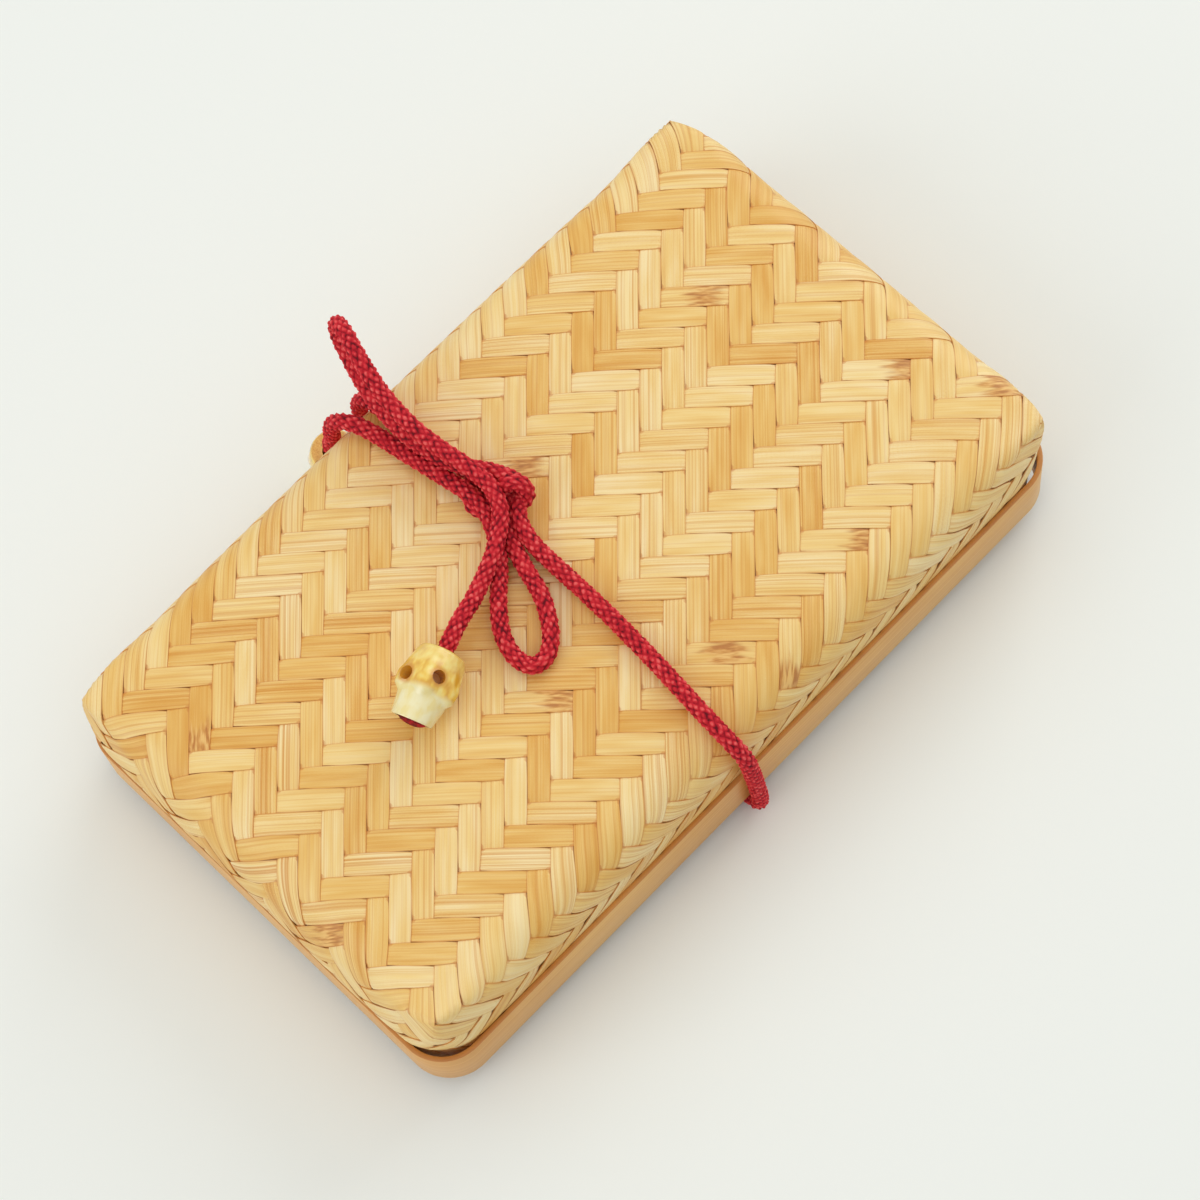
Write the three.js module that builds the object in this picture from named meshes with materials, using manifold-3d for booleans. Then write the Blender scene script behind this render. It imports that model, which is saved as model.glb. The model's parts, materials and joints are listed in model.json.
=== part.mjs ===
// Woven bamboo bento box: a deep lid over a tray, tied with a braided cord that carries two bamboo beads.
// Millimetres, +Z up, +X along the box, +Y towards the back. The tray's feet stand on z = 0.
import * as THREE from 'three';
import { mergeVertices } from 'three/addons/utils/BufferGeometryUtils.js';
import Module from 'manifold-3d';

const wasm = await Module();
wasm.setup();

// Bent bamboo hoop round the outside of the lid's rim
const LID_HOOP_LENGTH = 200;
const LID_HOOP_WIDTH = 119.4;
const LID_HOOP_HEIGHT = 15.6;
const LID_HOOP_CORNER = 10.8;
const OUTER_HOOP_THICKNESS = 1.3;
const INNER_HOOP_THICKNESS = 1;

// Lid: how far its pointed tips lie inside the hoop, and its pillowed form
const LID_END_LEAN = 5.8;
const LID_SIDE_LEAN = 4;
const LID_HEIGHT = 37.3;
const LID_RIM_Z = 6;
const LID_CROWN = 3;
const LID_BULGE = { right: 5.2, left: 3, back: 3.6, front: 2.5 };
const LID_BACK_LEFT_SAG = 3;
const LID_CORNER_ROUND = 13;

// Tray: its clearance inside the lid's inner hoop, how far its tips lie inside its own hoop, and its feet
const TRAY_END_CLEARANCE = 3.3;
const TRAY_SIDE_CLEARANCE = 1.5;
const TRAY_LEAN = 1.1;
const TRAY_BULGE = 1.5;
const TRAY_HOOP_HEIGHT = 9;
const TRAY_HOOP_CORNER = 12;
const TRAY_CORNER_ROUND = 13;
const TRAY_BOTTOM_RISE = 1.5;
const FOOT_HEIGHT = 5.6;
const FOOT_FLAT_CUT = 0.8;

// Weave, shared by both boxes
const WEAVE_THICKNESS = 1.2;
const FOLD_RADIUS = 8;
const ROUNDING_RUN = 26;
const BULGE_FULLNESS = 6;
const STRAIGHT_ABOVE_HOOP = 4;
const GAP = 0.3;

// Cord and beads
const CORD_DIAMETER = 4.4;
const CORD_SIDES = 10;
const BEAD_LENGTH = 16.5;
const BEAD_RADIUS = 6.3;
const BEAD_BORE_CLEARANCE = 0.4;
const BEAD_SIDE_HOLE_RADIUS = 1.5;
const BEAD_SIDE_HOLE_ANGLE = 38;
const END_KNOT_RADIUS = 3.6;
const END_KNOT_DEPTH = 3;
const STRAIGHT_OUT_OF_FRONT_BEAD = 8.5;
const STRAIGHT_OUT_OF_BACK_BEAD = 3.5;

// Sizes that follow from these: both walls from an outer hoop to the inner one, and the boxes inside the hoop
const hoopToHoop = 2 * (OUTER_HOOP_THICKNESS + WEAVE_THICKNESS + 2 * GAP);
const lidTipLength = LID_HOOP_LENGTH - 2 * LID_END_LEAN;
const lidTipWidth = LID_HOOP_WIDTH - 2 * LID_SIDE_LEAN;
const lidInset = hoopToHoop + 2 * INNER_HOOP_THICKNESS;
const trayHoopLength = LID_HOOP_LENGTH - lidInset - 2 * TRAY_END_CLEARANCE;
const trayHoopWidth = LID_HOOP_WIDTH - lidInset - 2 * TRAY_SIDE_CLEARANCE;
const trayTipLength = trayHoopLength - 2 * TRAY_LEAN;
const trayTipWidth = trayHoopWidth - 2 * TRAY_LEAN;

// Colours
const COLOURS = { weave: 0xe0b974, hoop: 0xc08a4e, cord: 0xa31f2b, bead: 0xe6c76c };

// Solids for joining and cutting
function toSolid(geometry) {
  const bare = geometry.clone();
  bare.deleteAttribute('normal');
  bare.deleteAttribute('uv');
  const merged = mergeVertices(bare, 1e-4);
  return new wasm.Manifold(new wasm.Mesh({
    numProp: 3,
    vertProperties: new Float32Array(merged.attributes.position.array),
    triVerts: new Uint32Array(merged.index.array),
  }));
}

function toGeometry(solid) {
  const mesh = solid.getMesh();
  const geometry = new THREE.BufferGeometry();
  geometry.setAttribute('position', new THREE.BufferAttribute(new Float32Array(mesh.vertProperties), 3));
  geometry.setIndex(new THREE.BufferAttribute(new Uint32Array(mesh.triVerts), 1));
  geometry.computeVertexNormals();
  return geometry;
}

function largestPiece(solid) {
  return solid.decompose().reduce((best, piece) => (piece.volume() > best.volume() ? piece : best));
}

// Form of a pillowed woven box: a sharp box whose folds are rounded everywhere but at the pointed corners
function edgeRounding(distance, radius, reach) {
  const arcHalf = (radius * Math.PI) / 4;
  if (distance < arcHalf) {
    const turn = (arcHalf - distance) / radius;
    return { along: radius * (1 - Math.sin(turn)) - distance, inward: radius * (1 - Math.cos(turn)) };
  }
  const fade = Math.max(0, 1 - (distance - arcHalf) / (reach - arcHalf));
  return { along: radius * (1 - Math.PI / 4) * fade, inward: 0 };
}

function roundingAt(run, radius) {
  const t = THREE.MathUtils.clamp(run / ROUNDING_RUN, 0, 1);
  return Math.max(radius * t * t * (3 - 2 * t), 1e-6);
}

function pillow(form, x, y, z) {
  const half = [form.halfLength, form.halfWidth, form.height];
  const reach = [form.halfLength, form.halfWidth, 2 * form.height];
  const depth = [half[0] - Math.abs(x), half[1] - Math.abs(y), half[2] - z];
  const face = depth.findIndex((value) => value < 1e-6);
  const inward = [0, 0, 0];
  for (let axis = 0; axis < 3 && face >= 0; axis += 1) {
    if (axis !== face) {
      const upright = axis !== 2 && face !== 2;
      const radius = roundingAt(depth[3 - axis - face], upright ? form.cornerRound : FOLD_RADIUS);
      const edge = edgeRounding(depth[axis], radius, reach[axis]);
      inward[axis] += edge.along;
      inward[face] += edge.inward;
    }
  }
  const u = x / half[0];
  const w = y / half[1];
  const down = THREE.MathUtils.clamp(depth[2] / form.height, 0, 1);
  const toHoop = Math.min(1, down / form.freeWall);
  const endBulge = (x > 0 ? form.bulge.right : form.bulge.left) * (1 - Math.abs(w) ** BULGE_FULLNESS);
  const sideBulge = (y > 0 ? form.bulge.back : form.bulge.front) * (1 - Math.abs(u) ** BULGE_FULLNESS);
  const sag = form.sag * ((1 - u) / 2) ** 3 * ((1 + w) / 2) ** 1.5 * (1 - down);
  const foot = form.foot * (1 - Math.abs(u * w) ** 4) * (1 - down);
  const crown = depth[2] < 1e-6 ? form.crown * (1 - u * u) * (1 - w * w) : 0;
  return new THREE.Vector3(
    x - Math.sign(x) * inward[0] + u * (endBulge * (1 - toHoop) + form.spreadX * toHoop),
    y - Math.sign(y) * inward[1] + w * (sideBulge * (1 - toHoop) + form.spreadY * toHoop),
    z - inward[2] + crown - sag - foot,
  );
}

function skinOf(form, offset) {
  return {
    ...form,
    halfLength: form.halfLength + offset,
    halfWidth: form.halfWidth + offset,
    height: form.height + offset,
    cornerRound: form.cornerRound + offset,
  };
}

// A closed block under one skin of the form, reaching below the rim
function skinBlock(form, below) {
  const cells = { length: 20, width: 14, height: 8 };
  const full = form.height + below;
  const block = new THREE.BoxGeometry(2, 2, 2, cells.length, cells.width, cells.height);
  const points = block.attributes.position;
  const crowd = (c) => 0.15 * c + 0.85 * Math.sin((c * Math.PI) / 2);
  for (let i = 0; i < points.count; i += 1) {
    const x = form.halfLength * crowd(points.getX(i));
    const y = form.halfWidth * crowd(points.getY(i));
    const z = form.height - full * ((1 - points.getZ(i)) / 2) ** 1.6;
    points.setXYZ(i, ...pillow(form, x, y, z));
  }
  return toSolid(block);
}

function wovenShell(form) {
  const skirt = 6;
  const outer = skinBlock(skinOf(form, WEAVE_THICKNESS / 2), skirt);
  const inner = skinBlock(skinOf(form, -WEAVE_THICKNESS / 2), 2 * skirt);
  const base = 4 * (form.halfLength + form.halfWidth);
  const belowRim = new THREE.BoxGeometry(base, base, 6 * skirt);
  belowRim.translate(0, 0, -3 * skirt);
  return outer.subtract(inner).subtract(toSolid(belowRim));
}

// Bent hoops
function hoopGeometry(length, width, corner, thickness, height) {
  const outline = (path, inset) => {
    const a = length / 2 - inset;
    const b = width / 2 - inset;
    const r = corner - inset;
    path.absarc(a - r, b - r, r, 0, Math.PI / 2);
    path.absarc(r - a, b - r, r, Math.PI / 2, Math.PI);
    path.absarc(r - a, r - b, r, Math.PI, 1.5 * Math.PI);
    path.absarc(a - r, r - b, r, 1.5 * Math.PI, 2 * Math.PI);
    path.closePath();
    return path;
  };
  const shape = outline(new THREE.Shape(), 0);
  shape.holes.push(outline(new THREE.Path(), thickness));
  return new THREE.ExtrudeGeometry(shape, { depth: height, bevelEnabled: false, curveSegments: 6 });
}

const box = new THREE.Group();

function addPart(name, geometry, colour, roughness, z = 0) {
  const material = new THREE.MeshStandardMaterial({ color: colour, roughness, metalness: 0 });
  const mesh = new THREE.Mesh(geometry, material);
  mesh.name = name;
  mesh.position.z = z;
  box.add(mesh);
  return mesh;
}

// Lid: the wall leans out until it meets the hoop
const hoopInset = OUTER_HOOP_THICKNESS + GAP + WEAVE_THICKNESS / 2;
const lidForm = {
  halfLength: lidTipLength / 2,
  halfWidth: lidTipWidth / 2,
  height: LID_HEIGHT,
  crown: LID_CROWN,
  bulge: LID_BULGE,
  sag: LID_BACK_LEFT_SAG,
  foot: 0,
  freeWall: 1 - (LID_HOOP_HEIGHT + STRAIGHT_ABOVE_HOOP) / LID_HEIGHT,
  spreadX: LID_HOOP_LENGTH / 2 - hoopInset - lidTipLength / 2,
  spreadY: LID_HOOP_WIDTH / 2 - hoopInset - lidTipWidth / 2,
  cornerRound: LID_CORNER_ROUND,
};
addPart('lid_shell', toGeometry(wovenShell(lidForm)), COLOURS.weave, 0.55, LID_RIM_Z);

addPart(
  'lid_hoop_outer',
  hoopGeometry(LID_HOOP_LENGTH, LID_HOOP_WIDTH, LID_HOOP_CORNER, OUTER_HOOP_THICKNESS, LID_HOOP_HEIGHT),
  COLOURS.hoop, 0.45, LID_RIM_Z,
);
addPart(
  'lid_hoop_inner',
  hoopGeometry(
    LID_HOOP_LENGTH - hoopToHoop, LID_HOOP_WIDTH - hoopToHoop, LID_CORNER_ROUND,
    INNER_HOOP_THICKNESS, LID_HOOP_HEIGHT,
  ),
  COLOURS.hoop, 0.5, LID_RIM_Z,
);

// The lid rests on the tray's outer hoop where the lid's underside is lowest above it
function undersideAboveTrayHoop() {
  const inner = skinOf(lidForm, -WEAVE_THICKNESS / 2);
  const steps = 160;
  let lowest = Infinity;
  const look = (x, y, z) => {
    const point = pillow(inner, x, y, z);
    const pastX = Math.abs(point.x) > trayHoopLength / 2 + GAP;
    const pastY = Math.abs(point.y) > trayHoopWidth / 2 + GAP;
    if (!pastX && !pastY) {
      lowest = Math.min(lowest, point.z);
    }
  };
  for (let i = -steps; i <= steps; i += 1) {
    for (let j = -steps; j <= steps; j += 1) {
      look((inner.halfLength * i) / steps, (inner.halfWidth * j) / steps, inner.height);
    }
    for (let j = 0; j <= 8; j += 1) {
      const z = inner.height - j;
      look(inner.halfLength * Math.sign(i || 1), (inner.halfWidth * i) / steps, z);
      look((inner.halfLength * i) / steps, inner.halfWidth * Math.sign(i || 1), z);
    }
  }
  return LID_RIM_Z + lowest;
}
const TRAY_RIM_Z = undersideAboveTrayHoop() - GAP;

// Tray: the same form turned over, its corner tips cut flat to stand on
const trayHeight = TRAY_RIM_Z + FOOT_FLAT_CUT - WEAVE_THICKNESS / 2;
const trayForm = {
  halfLength: trayTipLength / 2,
  halfWidth: trayTipWidth / 2,
  height: trayHeight,
  crown: -TRAY_BOTTOM_RISE,
  bulge: { right: TRAY_BULGE, left: TRAY_BULGE, back: TRAY_BULGE, front: TRAY_BULGE },
  sag: 0,
  foot: FOOT_HEIGHT + FOOT_FLAT_CUT,
  freeWall: 1 - (TRAY_HOOP_HEIGHT + STRAIGHT_ABOVE_HOOP) / trayHeight,
  spreadX: trayHoopLength / 2 - hoopInset - trayTipLength / 2,
  spreadY: trayHoopWidth / 2 - hoopInset - trayTipWidth / 2,
  cornerRound: TRAY_CORNER_ROUND,
};
const upturned = toGeometry(wovenShell(trayForm));
upturned.rotateX(Math.PI);
upturned.translate(0, 0, TRAY_RIM_Z);
const underFloor = new THREE.BoxGeometry(2 * trayTipLength, 2 * trayTipWidth, 2 * FOOT_HEIGHT);
underFloor.translate(0, 0, -FOOT_HEIGHT);
addPart('tray_shell', toGeometry(toSolid(upturned).subtract(toSolid(underFloor))), COLOURS.weave, 0.55);

addPart(
  'tray_hoop_outer',
  hoopGeometry(trayHoopLength, trayHoopWidth, TRAY_HOOP_CORNER, OUTER_HOOP_THICKNESS, TRAY_HOOP_HEIGHT),
  COLOURS.hoop, 0.45, TRAY_RIM_Z - TRAY_HOOP_HEIGHT,
);
addPart(
  'tray_hoop_inner',
  hoopGeometry(
    trayHoopLength - hoopToHoop, trayHoopWidth - hoopToHoop, TRAY_CORNER_ROUND,
    INNER_HOOP_THICKNESS, TRAY_HOOP_HEIGHT,
  ),
  COLOURS.hoop, 0.5, TRAY_RIM_Z - TRAY_HOOP_HEIGHT,
);

// Beads: a bamboo-root bead with a bore for the cord, a pocket for its end knot and two drilled side holes
const boreRadius = CORD_DIAMETER / 2 + BEAD_BORE_CLEARANCE;
function beadGeometry() {
  const pocket = END_KNOT_RADIUS + BEAD_BORE_CLEARANCE;
  const length = BEAD_LENGTH;
  const profile = [
    [pocket, 0], [0.84 * BEAD_RADIUS, 0], [0.89 * BEAD_RADIUS, 0.5], [0.9 * BEAD_RADIUS, 0.42 * length],
    [0.98 * BEAD_RADIUS, 0.52 * length], [BEAD_RADIUS, 0.68 * length], [0.95 * BEAD_RADIUS, 0.85 * length],
    [0.8 * BEAD_RADIUS, length], [boreRadius, length], [boreRadius, END_KNOT_DEPTH], [pocket, END_KNOT_DEPTH],
    [pocket, 0],
  ].map(([r, h]) => new THREE.Vector2(r, h));
  const turned = new THREE.LatheGeometry(profile, 20);
  turned.rotateZ(-Math.PI / 2);
  let solid = toSolid(turned);
  if (solid.volume() < 0) {
    turned.index.array.reverse();
    solid = toSolid(turned);
  }
  const holeDepth = BEAD_RADIUS - boreRadius;
  for (const side of [-1, 1]) {
    const hole = new THREE.CylinderGeometry(BEAD_SIDE_HOLE_RADIUS, BEAD_SIDE_HOLE_RADIUS, 2 * holeDepth, 10);
    hole.rotateX(Math.PI / 2);
    hole.translate(0.66 * length, 0, BEAD_RADIUS + GAP);
    hole.rotateX((side * BEAD_SIDE_HOLE_ANGLE * Math.PI) / 180);
    solid = solid.subtract(toSolid(hole));
  }
  return toGeometry(solid);
}

// Each bead's lower rim, and the way its cord leaves it
const beads = {
  front: { rim: new THREE.Vector3(-51.2, -6.0, 52.7), axis: new THREE.Vector3(0.939, 0.344, 0).normalize() },
  back: { rim: new THREE.Vector3(-12.0, 66.6, 1.2), axis: new THREE.Vector3(0, 0, 1) },
};
const alongBead = (bead, distance) => bead.rim.clone().addScaledVector(bead.axis, distance).toArray();

for (const [side, bead] of Object.entries(beads)) {
  const mesh = addPart(`bead_${side}`, beadGeometry(), COLOURS.bead, 0.25);
  mesh.position.copy(bead.rim);
  mesh.quaternion.setFromUnitVectors(new THREE.Vector3(1, 0, 0), bead.axis);
  const knob = new THREE.CylinderGeometry(END_KNOT_RADIUS, END_KNOT_RADIUS, END_KNOT_DEPTH - 2 * GAP, 12);
  knob.rotateZ(-Math.PI / 2);
  knob.translate((END_KNOT_DEPTH - 2 * GAP) / 2 + GAP, 0, 0);
  const stop = addPart(`cord_end_knot_${side}`, knob, COLOURS.cord, 0.7);
  stop.position.copy(bead.rim);
  stop.quaternion.copy(mesh.quaternion);
}

// The cord's route from end to end: front tail, back loop and knot; round the box; front loop and back tail
const TAIL_AND_BACK_LOOP = [
  alongBead(beads.front, END_KNOT_DEPTH), alongBead(beads.front, BEAD_LENGTH),
  alongBead(beads.front, BEAD_LENGTH + STRAIGHT_OUT_OF_FRONT_BEAD), [-22.0, 4.3, 51.9], [-16.4, 6.4, 52.0],
  [-11.8, 8.3, 52.6], [-8.2, 10.4, 53.0], [-5.4, 12.4, 53.5], [-3.0, 15.2, 54.3], [-1.6, 19.2, 55.2],
  [-2.0, 25.6, 56.5], [-3.0, 32.0, 57.0], [-3.8, 40.0, 57.8], [-3.4, 50.4, 60.4], [-1.1, 60.6, 63.2],
  [0.6, 65.6, 62.8], [1.7, 69.4, 60.8], [1.9, 71.2, 58.0], [1.2, 70.4, 55.2], [-0.2, 66.8, 53.6],
  [-3.6, 55.2, 52.0], [-4.8, 43.0, 51.9], [-3.8, 34.0, 52.4], [-1.8, 28.0, 52.8], [0.6, 23.8, 53.2],
  [2.2, 20.6, 53.4], [3.4, 17.7, 53.0], [3.6, 15.3, 52.1],
];
const ROUND_THE_BOX = [
  [2.5, 13.6, 51.3], [0.4, 12.7, 50.9], [-1.6, 10.8, 50.8], [-3.0, 7.5, 50.2], [-3.7, 3.0, 49.4],
  [-3.8, -4, 49.2], [-4.0, -18, 49.0], [-4.8, -34, 48.2], [-6.0, -49, 47.3], [-6.2, -54.8, 46.1],
  [-6.0, -59.0, 43.2], [-5.6, -61.3, 39.2], [-4.9, -62.1, 30], [-4.2, -62.3, 19.5], [-3.6, -62.35, 9.0],
  [-3.6, -62.1, 5.6], [-3.6, -60.9, 3.5], [-3.6, -58.2, 2.65], [-3.6, -53, 2.6], [-3.7, 0, 2.6],
  [-3.9, 53, 2.6], [-4.0, 58.2, 2.65], [-4.0, 60.9, 3.5], [-4.0, 62.1, 5.6], [-4.0, 62.35, 9.0],
  [-4.1, 62.4, 19.5], [-4.1, 62.5, 31], [-3.9, 62.0, 38.0], [-3.6, 60.0, 42.5], [-3.3, 56.4, 45.6],
  [-3.0, 50.5, 46.9], [-2.2, 41, 47.9], [-1.4, 32.0, 48.4], [-1.0, 25.0, 48.65],
];
const FRONT_LOOP_AND_TAIL = [
  [-1.3, 19.6, 48.8], [-2.5, 15.2, 48.85], [-4.4, 11.4, 48.9], [-6.5, 7.8, 49.0], [-8.3, 3.4, 49.2],
  [-10.9, -5.2, 49.2], [-13.3, -9.6, 49.1], [-16.4, -13.6, 49.0], [-20.2, -16.0, 48.9], [-23.6, -15.4, 48.9],
  [-24.9, -12.2, 48.9], [-24.2, -7.8, 49.0], [-21.9, -3.4, 49.1], [-17.8, 1.2, 49.0], [-13.8, 5.0, 48.9],
  [-10.3, 8.6, 48.9], [-8.0, 12.0, 49.2], [-6.4, 15.0, 49.9], [-5.3, 18.2, 50.6], [-5.1, 21.6, 50.9],
  [-5.4, 25.2, 50.8], [-5.9, 29.4, 50.2], [-6.5, 34.0, 49.5], [-7.3, 40.5, 48.4], [-8.6, 50.0, 47.3],
  [-9.7, 54.8, 46.9], [-11.1, 58.6, 45.2], [-12.1, 61.3, 41.6], [-12.5, 62.6, 36.4], [-12.2, 64.1, 29.0],
  alongBead(beads.back, BEAD_LENGTH + STRAIGHT_OUT_OF_BACK_BEAD), alongBead(beads.back, END_KNOT_DEPTH),
];
const CORD_ROUTE = [...TAIL_AND_BACK_LOOP, ...ROUND_THE_BOX, ...FRONT_LOOP_AND_TAIL]
  .map((point) => new THREE.Vector3(...point));

// The route between two of its points, sampled evenly point by point, so that tight bends keep their steps
class RouteStretch extends THREE.Curve {
  constructor(first, last) {
    super();
    this.route = new THREE.CatmullRomCurve3(CORD_ROUTE, false, 'centripetal');
    this.first = first;
    this.last = last;
  }

  getPoint(t) {
    return this.route.getPoint((this.first + (this.last - this.first) * t) / (CORD_ROUTE.length - 1));
  }

  getPointAt(t) {
    return this.getPoint(t);
  }

  getTangentAt(t) {
    return this.getTangent(t);
  }
}

function trimmed(first, last, gap) {
  const spacing = (a, b) => CORD_ROUTE[a].distanceTo(CORD_ROUTE[b]);
  const start = first === 0 ? 0 : first + gap / 2 / spacing(first, first + 1);
  const end = last === CORD_ROUTE.length - 1 ? last : last - gap / 2 / spacing(last - 1, last);
  return new RouteStretch(start, end);
}

function cordTube([first, last], grow = 0) {
  const radius = CORD_DIAMETER / 2 + grow;
  const section = new THREE.Shape();
  for (let side = 0; side < CORD_SIDES; side += 1) {
    const angle = (2 * Math.PI * side) / CORD_SIDES;
    const move = side === 0 ? 'moveTo' : 'lineTo';
    section[move](radius * Math.cos(angle), radius * Math.sin(angle));
  }
  const extrudePath = trimmed(first, last, GAP - 2 * grow);
  const along = { steps: last - first, bevelEnabled: false, extrudePath };
  return toSolid(new THREE.ExtrudeGeometry(section, along));
}

// Named strands and the route points that they run between, in the order in which each is cut clear of the
// ones before it; the knot is the four stretches that press on each other
const strands = {
  cord_knot: [[5, 10], [23, 30], [60, 65], [77, 83]],
  cord_top_front: [[30, 38]],
  cord_top_back: [[57, 60]],
  cord_loop_back: [[10, 23]],
  cord_loop_front: [[65, 77]],
  cord_tail_front: [[0, 5]],
  cord_tail_back: [[83, 93]],
  cord_side_front: [[38, 42]],
  cord_side_back: [[52, 57]],
  cord_under_run: [[42, 52]],
};
let taken = null;
for (const [name, stretches] of Object.entries(strands)) {
  const tubes = (grow) => stretches.map((stretch) => cordTube(stretch, grow));
  const join = (solids) => solids.reduce((all, solid) => all.add(solid));
  const strand = taken ? join(tubes(0)).subtract(taken) : join(tubes(0));
  addPart(name, toGeometry(largestPiece(strand)), COLOURS.cord, 0.7);
  taken = join(taken ? [taken, ...tubes(GAP)] : tubes(GAP));
}

export default box;
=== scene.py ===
"""Looks of the woven bamboo bento box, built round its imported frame. Metres, +Z up."""
import math
from types import SimpleNamespace

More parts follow.
